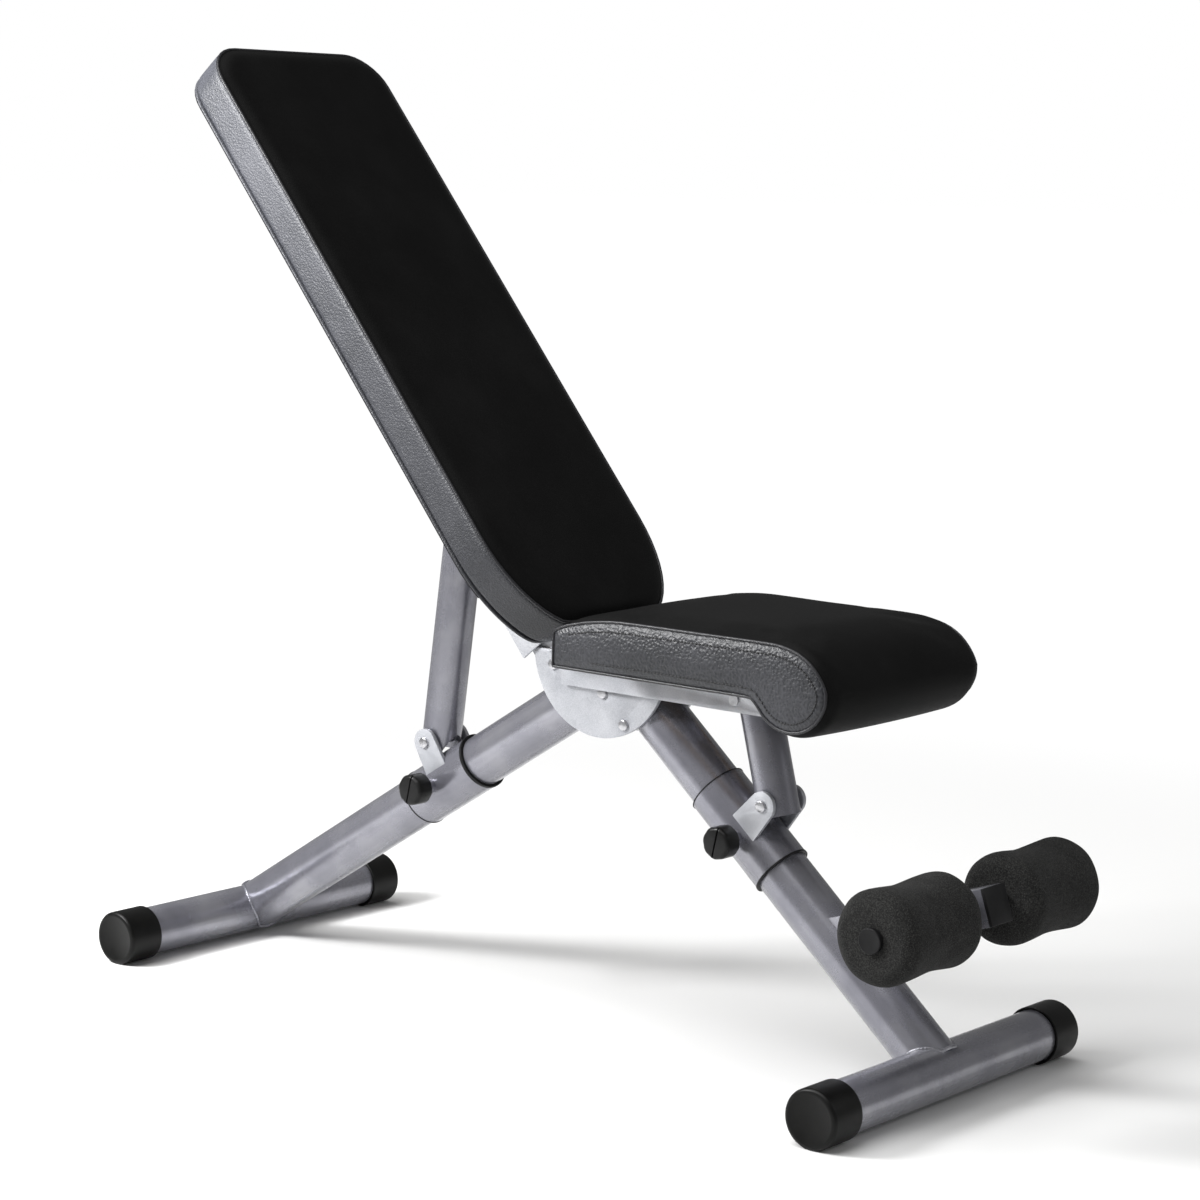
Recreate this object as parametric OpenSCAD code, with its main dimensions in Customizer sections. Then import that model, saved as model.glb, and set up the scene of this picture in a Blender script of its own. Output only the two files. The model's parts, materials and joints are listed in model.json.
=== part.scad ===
// Adjustable weight bench, free-standing, with two sliding sleeves that prop the backrest and the seat.
// +X points forwards to the foam rollers, +Y is the sitter's left, +Z is up.
// The origin is on the floor, at the middle of the bench's length and width.

/* [Feet] */
// Distance between the axes of the rear and the front foot tube
foot_spacing = 1020; // [960:10:1080]
// Overall length of each foot tube with its caps
foot_length = 460; // [420:10:520]
// Outer diameter of the foot tubes
foot_d = 57; // [54:1:58]
// Length of each end cap
cap_l = 46; // [36:1:56]

/* [Legs] */
// Outer diameter of both leg tubes
leg_d = 60; // [58:1:61]
// Slope of the rear leg above the floor, in degrees
rear_leg_angle = 32.3; // [31.8:0.1:32.8]
// Slope of the front leg above the floor, in degrees
front_leg_angle = 40.6; // [40.1:0.1:41.1]
// Wall of the leg and foot tubes
tube_wall = 2.5; // [1.5:0.5:3]

/* [Sleeves] */
// Outer diameter of the sliding sleeves
sleeve_d = 66; // [65:0.5:68]
// Outer diameter of both struts
strut_d = 46; // [40:1:47]
// Diameter of each hand knob
knob_d = 36; // [30:1:40]

/* [Backrest] */
// Slope of the backrest above the floor, in degrees
back_angle = 50.2; // [48:0.1:52]
// Length of the backrest pad
back_pad_l = 820; // [780:5:840]
// Width of both pads
pad_w = 280; // [250:5:320]
// Thickness of the backrest pad with its board
back_pad_t = 56; // [50:1:58]

/* [Seat] */
// Height of the underside of the seat pad
seat_z = 424; // [423:1:426]
// Thickness of the seat pad with its board
seat_pad_t = 59; // [50:1:62]
// Radius of the roll along the front edge of the seat
seat_roll_r = 43; // [36:1:44]

/* [Rollers] */
// Outer diameter of the foam rollers
roller_d = 100; // [80:1:104]
// Length of each foam roller
roller_l = 133; // [110:1:140]

/* [Hidden] */
$fn = 64;

// Running clearance on a radius, clearance where pieces of one body fit, and a cutter's overrun
run = 0.06;
fit = 0.02;
eps = 1;

foot_x = foot_spacing / 2;
// The caps are round, with a narrow flat moulded underneath to stand on
foot_z = 31.2;
cap_r = foot_z + 0.6;
foot_tube_l = foot_length - 12;

leg_r = leg_d / 2;
leg_start = 8;

// The two leg axes meet at the apex of the frame
apex_run = foot_spacing * tan(front_leg_angle) / (tan(rear_leg_angle) + tan(front_leg_angle));
apex_x = apex_run - foot_x;
apex_z = foot_z + apex_run * tan(rear_leg_angle);
leg_top_z = 401;
top_plate_x = [32, 124];
top_plate_t = 3;
mitre_lean = (front_leg_angle - rear_leg_angle) / 2;

// Hub: two round plates that hold the tops of both legs and every pivot
hub_x = 68;
hub_z = 424;
hub_r = 95;
hub_t = 5;
hub_top_z = 418;
hub_in = leg_r;
hub_out = hub_in + hub_t;
hub_bolt_xz = [[74, 380], [105, 348]];
hub_bolt_r = 4;
head_r = 6;
head_h = 2.4;
// The nuts between the hub and the seat rails are thin ones
nut_h = 6;
thin_nut_h = 3;
nut_step = 2.9;

back_pivot = [2, 404];
seat_pivot = [58, 412];
pivot_r = 5;
pivot_spacer_r = 9;

// Sleeves, in millimetres along the leg from the foot tube's axis
rear_sleeve = [342, 443.5];
front_sleeve = [277, 393];
rear_pin = [400, 48.5];
front_pin = [330, 50.4];
rear_knob_s = 384;
front_knob_s = 328;
sleeve_r = sleeve_d / 2;
sleeve_bore = 31.2;
bush_l = 28;
ear_in = 25;
ear_t = 5;
ear_out = ear_in + ear_t;
ear_r = 16;
strut_r = strut_d / 2;
strut_wall = 2.5;
strut_tail = 14;
strut_gap = 1.2;

boss_r = 9;
boss_l = 10;
stud_r = 5;
stud_end = 9;
knob_l = 22;
knob_back = sleeve_r + boss_l + 4;
clamp_pad_l = 3;

// Struts: length between the two pivots, and lean from square to the leg, up the leg
rear_strut_l = 305.4;
rear_lean = rear_leg_angle + 7.1;
front_strut_l = 116.4;
front_lean = front_leg_angle + 14.9;
strut_top_pin_r = 6;
front_bolt_hole_r = 9;

// Backrest: local X runs up the back from its pivot, local Z points to the sitter
pad_front = 85.7;
pad_rear = pad_front - back_pad_t;
pad_low = -1;
// The pad's top corners are round, and its lower corners are long ellipses
pad_top_r = 50;
pad_low_a = 130;
pad_low_b = 90;
// The pad's lower end is cut away behind, so that it clears the hub and the seat rails when upright
heel_x = 13.5;
heel_z = 82;
board_t = 12;
board_inset = 8;
board_low = 16;
channel_t = 4;
channel_in = 35.4;
channel_out = channel_in + channel_t;
channel_x = [27.5, 420];
channel_drop = 61;
hinge_r = 22;
hinge_in = 24.5;
hinge_t = 5;
hinge_l = 112;
hinge_bush_r = 8;
tab_x = [140, 360];
tab_w = 45;
tab_out = 110;
screw_y = 85;
screw_r = 4;
screw_l = 14;

// Seat
rail_t = 4;
rail_in = hub_out + 3.5;
rail_out = rail_in + rail_t;
rail_x = [20, 322];
rail_z = 384;
flange_out = 68;
seat_top_z = seat_z + seat_pad_t;
// The pad has a short rear face, a shoulder that rises to the flat top, and a roll in front
seat_rear_x = 88;
seat_rear_h = 34;
seat_shoulder = [102, seat_z + 46];
seat_flat_x = [158, 365];
seat_roll_x = 405;
seat_roll_top_z = seat_top_z - 3;
seat_roll_z = seat_roll_top_z - seat_roll_r;
seat_bottom_x = 352;
seat_screw_x = [130, 300];
seat_screw_y = 56;
cross_bar_x = 200;
cross_bar_z = 405;
cross_bar_w = 30;
cross_bar_h = 26;
front_strut_top = [262, 397];

// Rollers
arm_w = 40;
arm_wall = 2.5;
arm_slope = 18.6;
axle = [543.1, 210];
arm_end = 33;
arm_reach = 195;
plug_l = 18;
axle_r = 10;
roller_core_r = 12.5;
roller_gap = 47.5;
roller_end_r = 12;
roller_waist = 3;
spacer_r = 15;
end_cap_r = 13.3;
end_cap_t = 3;
axle_half = roller_gap + roller_l + 5.5;

steel = [0.62, 0.62, 0.66];
plate = [0.80, 0.80, 0.83];
black = [0.08, 0.08, 0.08];
foam = [0.20, 0.20, 0.20];
zinc = [0.70, 0.70, 0.72];
wood = [0.72, 0.58, 0.40];

// Shapes are drawn about the middle of the feet, then moved to the middle of the whole length
module placed() {
    translate([(foot_x + cap_r - axle[0] - roller_d / 2) / 2, 0, 0]) children();
}

// A cylinder along Y from y0 to y1
module rod_y(r, y0, y1) {
    translate([0, y1, 0]) rotate([90, 0, 0]) cylinder(r = r, h = y1 - y0);
}

// A tube along Y
module tube_y(r, bore, y0, y1) {
    difference() {
        rod_y(r, y0, y1);
        rod_y(bore, y0 - eps, y1 + eps);
    }
}

// A cylinder along X from x0 to x1
module rod_x(r, x0, x1) {
    translate([x0, 0, 0]) rotate([0, 90, 0]) cylinder(r = r, h = x1 - x0);
}

// A flat outline drawn in X and Z, given a thickness from y0 to y1
module plate_xz(y0, y1) {
    translate([0, y1, 0]) rotate([90, 0, 0]) linear_extrude(y1 - y0) children();
}

module both_sides() {
    children();
    mirror([0, 1, 0]) children();
}

// Leg frames: local X runs up the leg from the foot tube's axis, local Z is square to it and up
module rear_leg_frame() {
    translate([-foot_x, 0, foot_z]) rotate([0, -rear_leg_angle, 0]) children();
}

module front_leg_frame() {
    translate([foot_x, 0, foot_z]) mirror([1, 0, 0]) rotate([0, -front_leg_angle, 0]) children();
}

module back_frame() {
    translate([back_pivot[0], 0, back_pivot[1]])
        mirror([1, 0, 0]) rotate([0, -back_angle, 0]) children();
}

module arm_frame() {
    translate([axle[0], 0, axle[1]]) rotate([0, -arm_slope, 0]) children();
}

// Outline of the backrest pad, drawn in by inset all round
module pad_outline(inset) {
    x0 = pad_low + pad_low_a;
    x1 = pad_low + back_pad_l - pad_top_r;
    hull() for (side = [-1, 1]) {
        translate([x0, side * (pad_w / 2 - pad_low_b)])
            scale([pad_low_a - inset, pad_low_b - inset]) circle(1);
        translate([x1, side * (pad_w / 2 - pad_top_r)]) circle(pad_top_r - inset);
    }
}

// Round-headed bolt across the bench, with its head on the right side (-Y)
module cross_bolt(r, grip, tail) {
    rod_y(r, -grip, grip + tail);
    rod_y(head_r, -grip - head_h, -grip);
}

module foot_tube(x) {
    translate([x, 0, foot_z])
        tube_y(foot_d / 2, foot_d / 2 - tube_wall, -foot_tube_l / 2, foot_tube_l / 2);
}

// End cap: a cup over the tube's end, with a rounded outer rim
module foot_cap(x, side) {
    rim = 5;
    inside = (foot_tube_l - foot_length) / 2 + cap_l;
    translate([x, 0, foot_z]) mirror([0, side > 0 ? 0 : 1, 0])
        translate([0, foot_length / 2, 0]) rotate([90, 0, 0]) difference() {
            rotate_extrude() {
                translate([0, 0]) square([cap_r - rim, cap_l]);
                translate([0, rim]) square([cap_r, cap_l - rim]);
                translate([cap_r - rim, rim]) circle(rim);
            }
            translate([0, 0, cap_l - inside]) cylinder(r = foot_d / 2 + fit, h = inside + eps);
            translate([-cap_r, -cap_r - foot_z, -eps]) cube([2 * cap_r, cap_r, cap_l + 2 * eps]);
        }
}

// Everything above the mitre or above the flat top of the hub is cut from the leg tubes
module leg_mitre(rear) {
    big = 300;
    translate([apex_x, 0, apex_z]) rotate([0, mitre_lean, 0])
        translate([rear ? 0 : -big, -big / 2, -big / 2]) cube(big);
    translate([apex_x - big / 2, -big / 2, leg_top_z]) cube(big);
}

module leg_blank(top) {
    difference() {
        rod_x(leg_r, leg_start, top);
        rod_x(leg_r - tube_wall, leg_start - eps, top + eps);
        rod_y(foot_d / 2, -leg_d, leg_d);
    }
}

module hub_bolt_holes(r) {
    for (p = hub_bolt_xz) translate([p[0], 0, p[1]]) rod_y(r, -hub_out - eps, hub_out + eps);
}

module hub_plate(side) {
    mirror([0, side > 0 ? 0 : 1, 0]) difference() {
        plate_xz(hub_in, hub_out) intersection() {
            translate([hub_x, hub_z]) circle(hub_r, $fn = 128);
            translate([hub_x - hub_r - eps, hub_top_z - 2 * hub_r]) square(2 * hub_r + 2 * eps);
        }
        hub_bolt_holes(hub_bolt_r + fit);
        for (p = [back_pivot, seat_pivot])
            translate([p[0], 0, p[1]]) rod_y(pivot_r + fit, 0, hub_out + eps);
    }
}

module hex_nut(x, z, y0, bolt_r, h) {
    translate([x, 0, z]) difference() {
        translate([0, y0 + h, 0]) rotate([90, 0, 0]) cylinder(r = bolt_r + nut_step, h = h, $fn = 6);
        rod_y(bolt_r + fit, y0 - eps, y0 + h + eps);
    }
}

// Sleeve pieces, drawn in a leg frame
module sleeve_tube(span, knob_s) {
    difference() {
        rod_x(sleeve_r, span[0], span[1]);
        rod_x(sleeve_bore, span[0] - eps, span[1] + eps);
        translate([knob_s, 0, 0]) rod_y(stud_r + 0.6, -sleeve_r - eps, -sleeve_bore + eps);
    }
}

module sleeve_bush(s0, s1, lip0, lip1) {
    difference() {
        union() {
            rod_x(sleeve_bore - fit, s0, s1);
            rod_x(sleeve_r + 0.6, lip0, lip1);
        }
        rod_x(leg_r + run, min(s0, lip0) - eps, max(s1, lip1) + eps);
    }
}

module sleeve_bushes(span, low_lip, high_lip) {
    sleeve_bush(span[0] - eps, span[0] + bush_l, span[0] - low_lip, span[0]);
    sleeve_bush(span[1] - bush_l, span[1] + eps, span[1], span[1] + high_lip);
}

module ears(pin, foot_half) {
    both_sides() difference() {
        plate_xz(ear_in, ear_out) {
            translate(pin) circle(ear_r);
            polygon([[pin[0] - ear_r, pin[1]], [pin[0] + ear_r, pin[1]],
                [pin[0] + foot_half, 10], [pin[0] - foot_half, 10]]);
        }
        translate([pin[0], 0, pin[1]]) rod_y(pivot_r + fit, 0, ear_out + eps);
        rod_x(sleeve_r, 0, 600);
    }
}

module ear_pin(pin) {
    translate([pin[0], 0, pin[1]]) {
        rod_y(pivot_r, -ear_out, ear_out);
        both_sides() rod_y(head_r, ear_out, ear_out + head_h);
    }
}

module knob_boss(s) {
    translate([s, 0, 0]) difference() {
        rod_y(boss_r, -sleeve_r - boss_l, -sleeve_r + 2);
        rod_y(stud_r + run, -sleeve_r - boss_l - eps, 0);
        translate([-s, 0, 0]) rod_x(sleeve_r, 0, 600);
    }
}

module clamp_pad(s) {
    translate([s, 0, 0]) rod_y(stud_r, -leg_r - run - clamp_pad_l, -leg_r - run);
}

module knob_stud(s) {
    translate([s, 0, 0]) rod_y(stud_r, -knob_back - stud_end, -leg_r - run - clamp_pad_l);
}

// Hand knob: eight shallow lobes, a groove across its face and a blind hole for the stud
module knob_grip(s) {
    lobes = 8;
    lobe_r = knob_d / 7;
    translate([s, -knob_back, 0]) rotate([90, 0, 0]) difference() {
        union() {
            cylinder(r = knob_d / 2 - 1.5, h = knob_l);
            for (i = [0 : lobes - 1]) rotate(i * 360 / lobes)
                translate([knob_d / 2 - lobe_r, 0, 2]) cylinder(r = lobe_r, h = knob_l - 5);
        }
        translate([0, 0, -eps]) cylinder(r = stud_r + fit, h = stud_end + eps);
        rotate(12) translate([-1.2, -knob_d, knob_l - 3]) cube([2.4, 2 * knob_d, 3 + eps]);
    }
}

// Strut: a round tube from its lower pin up to a round-ended top, notched to clear the sleeve
module strut(pin, lean_in_leg, length, swing, top_hole_r) {
    translate([pin[0], 0, pin[1]]) difference() {
        rotate([0, lean_in_leg, 0]) difference() {
            intersection() {
                translate([0, 0, -strut_tail]) cylinder(r = strut_r, h = length + strut_r + strut_tail);
                union() {
                    translate([-strut_r, -strut_r, -strut_tail])
                        cube([strut_d, strut_d, length + strut_tail]);
                    translate([0, 0, length]) rod_y(strut_r, -strut_r, strut_r);
                }
            }
            translate([0, 0, -strut_tail - eps])
                cylinder(r = strut_r - strut_wall, h = length + strut_d + strut_tail);
            rod_y(pivot_r + run, -strut_d, strut_d);
            translate([0, 0, length]) rod_y(top_hole_r, -strut_d, strut_d);
        }
        for (a = swing) rotate([0, a, 0]) translate([0, 0, -pin[1]]) rod_x(sleeve_r + strut_gap, -150, 150);
    }
}

module back_pad_solid() {
    soft = 12;
    difference() {
        hull() {
            translate([0, 0, pad_rear]) linear_extrude(back_pad_t - soft) pad_outline(0);
            translate([0, 0, pad_rear]) linear_extrude(back_pad_t - 2) pad_outline(soft);
        }
        plate_xz(-pad_w, pad_w)
            polygon([[heel_x, pad_rear - eps], [heel_x, pad_rear], [pad_low, heel_z],
                [pad_low - eps, heel_z], [pad_low - eps, pad_rear - eps]]);
    }
}

module back_board_solid() {
    translate([0, 0, pad_rear]) linear_extrude(board_t) intersection() {
        pad_outline(board_inset);
        translate([board_low, -pad_w]) square([back_pad_l, 2 * pad_w]);
    }
}

module back_screws(r, l) {
    for (x = tab_x, y = [-screw_y, screw_y])
        translate([x, y, pad_rear - channel_t]) cylinder(r = r, h = l);
}

module seat_profile() {
    polygon([[seat_rear_x, seat_z], [seat_bottom_x, seat_z], [seat_roll_x, seat_roll_z],
        [seat_roll_x, seat_roll_top_z], [seat_flat_x[1], seat_top_z],
        [seat_flat_x[0], seat_top_z - 2], seat_shoulder, [seat_rear_x, seat_z + seat_rear_h]]);
    translate([seat_roll_x, seat_roll_z]) circle(seat_roll_r);
}

module seat_screws(r, l) {
    for (x = seat_screw_x, y = [-seat_screw_y, seat_screw_y])
        translate([x, y, seat_z - rail_t]) cylinder(r = r, h = l);
}

module seat_board_solid() {
    translate([0, 0, seat_z]) linear_extrude(board_t)
        translate([seat_rear_x + board_inset, -pad_w / 2 + board_inset])
            square([seat_bottom_x - seat_rear_x - 2 * board_inset, pad_w - 2 * board_inset]);
}

module rear_foot_tube() { color(steel) placed() foot_tube(-foot_x); }
module front_foot_tube() { color(steel) placed() foot_tube(foot_x); }
module rear_foot_cap_left() { color(black) placed() foot_cap(-foot_x, 1); }
module rear_foot_cap_right() { color(black) placed() foot_cap(-foot_x, -1); }
module front_foot_cap_left() { color(black) placed() foot_cap(foot_x, 1); }
module front_foot_cap_right() { color(black) placed() foot_cap(foot_x, -1); }

module rear_leg_tube() {
    color(steel) placed() difference() {
        rear_leg_frame() leg_blank(apex_run / cos(rear_leg_angle) + leg_d);
        leg_mitre(true);
        hub_bolt_holes(hub_bolt_r + fit);
    }
}

module front_leg_tube() {
    color(steel) placed() difference() {
        front_leg_frame() leg_blank((foot_spacing - apex_run) / cos(front_leg_angle) + leg_d);
        leg_mitre(false);
        hub_bolt_holes(hub_bolt_r + fit);
    }
}

module hub_plate_left() { color(plate) placed() hub_plate(1); }
module hub_plate_right() { color(plate) placed() hub_plate(-1); }

// Cover plate welded over the open tops of the mitred legs, between the hub plates
module hub_top_plate() {
    color(plate) placed() translate([top_plate_x[0], -hub_in, leg_top_z])
        cube([top_plate_x[1] - top_plate_x[0], 2 * hub_in, top_plate_t]);
}

module hub_bolts() {
    color(zinc) placed() for (p = hub_bolt_xz)
        translate([p[0], 0, p[1]]) cross_bolt(hub_bolt_r, hub_out, thin_nut_h);
}

// The nuts of all four bolts through the hub, on the left side
module hub_nuts() {
    color(zinc) placed() {
        for (p = hub_bolt_xz) hex_nut(p[0], p[1], hub_out, hub_bolt_r, thin_nut_h);
        hex_nut(back_pivot[0], back_pivot[1], hub_out, pivot_r, nut_h);
        hex_nut(seat_pivot[0], seat_pivot[1], rail_out + 0.1, pivot_r, nut_h);
    }
}

module back_pivot_bolt() {
    color(zinc) placed() translate([back_pivot[0], 0, back_pivot[1]]) cross_bolt(pivot_r, hub_out, nut_h);
}

module seat_pivot_bolt() {
    color(zinc) placed() translate([seat_pivot[0], 0, seat_pivot[1]])
        cross_bolt(pivot_r, rail_out + 0.1, nut_h);
}

// Plain spacers that hold the seat rails clear of the hub bolts
module seat_pivot_spacers() {
    color(black) placed() translate([seat_pivot[0], 0, seat_pivot[1]])
        both_sides() tube_y(pivot_spacer_r, pivot_r + fit, hub_out, rail_in - 0.1);
}

module roller_arm() {
    color(steel) placed() difference() {
        arm_frame() translate([-arm_reach, -arm_w / 2, -arm_w / 2]) difference() {
            cube([arm_reach + arm_end - 4, arm_w, arm_w]);
            translate([-eps, arm_wall, arm_wall])
                cube([arm_reach + arm_end + eps, arm_w - 2 * arm_wall, arm_w - 2 * arm_wall]);
        }
        front_leg_frame() rod_x(leg_r, 0, 400);
        arm_frame() rod_y(axle_r + fit, -arm_w, arm_w);
    }
}

// Plug that closes the open end of the arm, with a face as large as the tube
module roller_arm_plug() {
    color(black) placed() arm_frame() {
        translate([arm_end - 4, -arm_w / 2, -arm_w / 2]) cube([4, arm_w, arm_w]);
        translate([arm_end - plug_l, -arm_w / 2 + arm_wall + fit, -arm_w / 2 + arm_wall + fit])
            cube([plug_l - 4, arm_w - 2 * arm_wall - 2 * fit, arm_w - 2 * arm_wall - 2 * fit]);
    }
}

module roller_axle() {
    color(zinc) placed() translate([axle[0], 0, axle[1]])
        rod_y(axle_r, -axle_half + end_cap_t, axle_half - end_cap_t);
}

module roller_spacers() {
    color(black) placed() translate([axle[0], 0, axle[1]])
        both_sides() tube_y(spacer_r, axle_r + fit, arm_w / 2, roller_gap - 0.5);
}

module roller_end_caps() {
    color(black) placed() translate([axle[0], 0, axle[1]]) both_sides() difference() {
        rod_y(end_cap_r, roller_gap + roller_l + 0.5, axle_half);
        rod_y(axle_r + fit, roller_gap + roller_l, axle_half - end_cap_t);
    }
}

module roller_core(side) {
    translate([axle[0], 0, axle[1]]) mirror([0, side > 0 ? 0 : 1, 0])
        tube_y(roller_core_r, axle_r + run, roller_gap, roller_gap + roller_l);
}

// Foam roller: bulging rounded ends and a slightly narrower middle
module roller_foam(side) {
    r = roller_d / 2;
    translate([axle[0], 0, axle[1]]) mirror([0, side > 0 ? 0 : 1, 0])
        translate([0, roller_gap + roller_l, 0]) rotate([90, 0, 0]) rotate_extrude(convexity = 4)
            difference() {
                union() {
                    square([r - roller_end_r, roller_l]);
                    translate([0, roller_end_r]) square([r, roller_l - 2 * roller_end_r]);
                    for (z = [roller_end_r, roller_l - roller_end_r])
                        translate([r - roller_end_r, z]) circle(roller_end_r);
                }
                square([2 * (roller_core_r + fit), 3 * roller_l], center = true);
                translate([r + 150 - roller_waist, roller_l / 2]) circle(150, $fn = 256);
            }
}

module rear_sleeve_tube() {
    color(steel) placed() rear_leg_frame() sleeve_tube(rear_sleeve, rear_knob_s);
}

module rear_sleeve_bushes() { color(black) placed() rear_leg_frame() sleeve_bushes(rear_sleeve, 1, 3.5); }
module rear_sleeve_ears() { color(plate) placed() rear_leg_frame() ears(rear_pin, 17); }
module rear_strut_pin() { color(zinc) placed() rear_leg_frame() ear_pin(rear_pin); }
module rear_knob_boss() { color(steel) placed() rear_leg_frame() knob_boss(rear_knob_s); }
module rear_clamp_pad() { color(black) placed() rear_leg_frame() clamp_pad(rear_knob_s); }
module rear_knob_stud() { color(zinc) placed() rear_leg_frame() knob_stud(rear_knob_s); }
module rear_knob_grip() { color(black) placed() rear_leg_frame() knob_grip(rear_knob_s); }

module rear_strut_tube() {
    color(steel) placed() rear_leg_frame()
        strut(rear_pin, rear_lean, rear_strut_l, [-20.5, -10, 0, 11], strut_top_pin_r + fit);
}

// Pin through the strut's top, whose ends stop just short of the channel's sides
module rear_strut_top_pin() {
    color(zinc) placed() rear_leg_frame() translate([rear_pin[0], 0, rear_pin[1]])
        rotate([0, rear_lean, 0]) translate([0, 0, rear_strut_l])
            rod_y(strut_top_pin_r, -channel_in + 0.6, channel_in - 0.6);
}

module front_sleeve_tube() {
    color(steel) placed() front_leg_frame() sleeve_tube(front_sleeve, front_knob_s);
}

module front_sleeve_bushes() { color(black) placed() front_leg_frame() sleeve_bushes(front_sleeve, 2, 1); }
module front_sleeve_ears() { color(plate) placed() front_leg_frame() ears(front_pin, 19); }
module front_strut_pin() { color(zinc) placed() front_leg_frame() ear_pin(front_pin); }
module front_knob_boss() { color(steel) placed() front_leg_frame() knob_boss(front_knob_s); }
module front_clamp_pad() { color(black) placed() front_leg_frame() clamp_pad(front_knob_s); }
module front_knob_stud() { color(zinc) placed() front_leg_frame() knob_stud(front_knob_s); }
module front_knob_grip() { color(black) placed() front_leg_frame() knob_grip(front_knob_s); }

module front_strut_tube() {
    color(steel) placed() front_leg_frame()
        strut(front_pin, front_lean, front_strut_l, [0, 9, 18, 27.5], front_bolt_hole_r);
}

// Folded steel channel down the middle of the backrest, open towards the rear
module back_channel() {
    color(plate) placed() back_frame() difference() {
        translate([channel_x[0], -channel_out, pad_rear - channel_drop])
            cube([channel_x[1] - channel_x[0], 2 * channel_out, channel_drop]);
        translate([channel_x[0] - eps, -channel_in, pad_rear - channel_drop - eps])
            cube([channel_x[1] - channel_x[0] + 2 * eps, 2 * channel_in, channel_drop - channel_t + eps]);
    }
}

// Two plates welded under the channel's web that swing about the pivot bolt between the hub plates
module back_hinge_plates() {
    color(plate) placed() back_frame() both_sides() difference() {
        plate_xz(hinge_in, hinge_in + hinge_t) {
            circle(hinge_r);
            translate([0, -hinge_r]) square([hinge_l, 2 * hinge_r]);
            translate([channel_x[0], 0]) square([hinge_l - channel_x[0], pad_rear - channel_t]);
        }
        rod_y(pivot_r + run, 0, 40);
    }
}

module back_hinge_bush() {
    color(steel) placed() back_frame() tube_y(hinge_bush_r, pivot_r + run, -hinge_in, hinge_in);
}

// Four tabs welded to the channel's sides, which the pad's board is screwed to
module back_pad_tabs() {
    color(plate) placed() back_frame() difference() {
        both_sides() for (x = tab_x)
            translate([x - tab_w / 2, channel_out, pad_rear - channel_t])
                cube([tab_w, tab_out - channel_out, channel_t]);
        back_screws(screw_r + fit, channel_t + eps);
    }
}

module back_board() {
    color(wood) placed() back_frame() difference() {
        back_board_solid();
        back_screws(screw_r + fit, screw_l);
    }
}

module back_pad() {
    color(black) placed() back_frame() difference() {
        back_pad_solid();
        back_board_solid();
    }
}

module back_pad_screws() {
    color(zinc) placed() back_frame() {
        back_screws(screw_r, screw_l);
        translate([0, 0, -head_h]) back_screws(head_r, head_h);
    }
}

// Angle bar under the seat board, with its flange turned outwards
module seat_rail(side) {
    mirror([0, side > 0 ? 0 : 1, 0]) difference() {
        union() {
            translate([rail_x[0], rail_in, rail_z])
                cube([rail_x[1] - rail_x[0], rail_t, seat_z - rail_z]);
            translate([rail_x[0], rail_in, seat_z - rail_t])
                cube([rail_x[1] - rail_x[0], flange_out - rail_in, rail_t]);
        }
        for (p = [seat_pivot, front_strut_top])
            translate([p[0], 0, p[1]]) rod_y(pivot_r + run, 0, flange_out);
        seat_screws(screw_r + fit, rail_t + eps);
    }
}

module seat_rail_left() { color(plate) placed() seat_rail(1); }
module seat_rail_right() { color(plate) placed() seat_rail(-1); }

module seat_cross_bar() {
    color(steel) placed() translate([cross_bar_x - cross_bar_w / 2, -rail_in, cross_bar_z - cross_bar_h / 2])
        difference() {
            cube([cross_bar_w, 2 * rail_in, cross_bar_h]);
            translate([tube_wall, -eps, tube_wall])
                cube([cross_bar_w - 2 * tube_wall, 2 * rail_in + 2 * eps, cross_bar_h - 2 * tube_wall]);
        }
}

// Bolt that the front strut hangs from, with its nut
module front_strut_bolt() {
    color(zinc) placed() {
        translate([front_strut_top[0], 0, front_strut_top[1]]) cross_bolt(pivot_r, rail_out, nut_h);
        hex_nut(front_strut_top[0], front_strut_top[1], rail_out, pivot_r, nut_h);
    }
}

module seat_board() {
    color(wood) placed() difference() {
        seat_board_solid();
        seat_screws(screw_r + fit, screw_l);
    }
}

module seat_pad() {
    color(black) placed() difference() {
        plate_xz(-pad_w / 2, pad_w / 2) seat_profile();
        seat_board_solid();
    }
}

module seat_pad_screws() {
    color(zinc) placed() {
        seat_screws(screw_r, screw_l);
        translate([0, 0, -head_h]) seat_screws(head_r, head_h);
    }
}

module roller_core_left() { color(black) placed() roller_core(1); }
module roller_core_right() { color(black) placed() roller_core(-1); }
module roller_foam_left() { color(foam) placed() roller_foam(1); }
module roller_foam_right() { color(foam) placed() roller_foam(-1); }

rear_foot_tube();
front_foot_tube();
rear_foot_cap_left();
rear_foot_cap_right();
front_foot_cap_left();
front_foot_cap_right();
rear_leg_tube();
front_leg_tube();
hub_plate_left();
hub_plate_right();
hub_top_plate();
hub_bolts();
hub_nuts();
back_pivot_bolt();
seat_pivot_bolt();
seat_pivot_spacers();
roller_arm();
roller_arm_plug();
roller_axle();
roller_spacers();
roller_end_caps();
rear_sleeve_tube();
rear_sleeve_bushes();
rear_sleeve_ears();
rear_strut_pin();
rear_knob_boss();
rear_strut_tube();
rear_strut_top_pin();
rear_clamp_pad();
rear_knob_stud();
rear_knob_grip();
front_sleeve_tube();
front_sleeve_bushes();
front_sleeve_ears();
front_strut_pin();
front_knob_boss();
front_strut_tube();
front_clamp_pad();
front_knob_stud();
front_knob_grip();
back_channel();
back_hinge_plates();
back_hinge_bush();
back_pad_tabs();
back_board();
back_pad();
back_pad_screws();
seat_rail_left();
seat_rail_right();
seat_cross_bar();
front_strut_bolt();
seat_board();
seat_pad();
seat_pad_screws();
roller_core_left();
roller_foam_left();
roller_core_right();
roller_foam_right();
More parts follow.
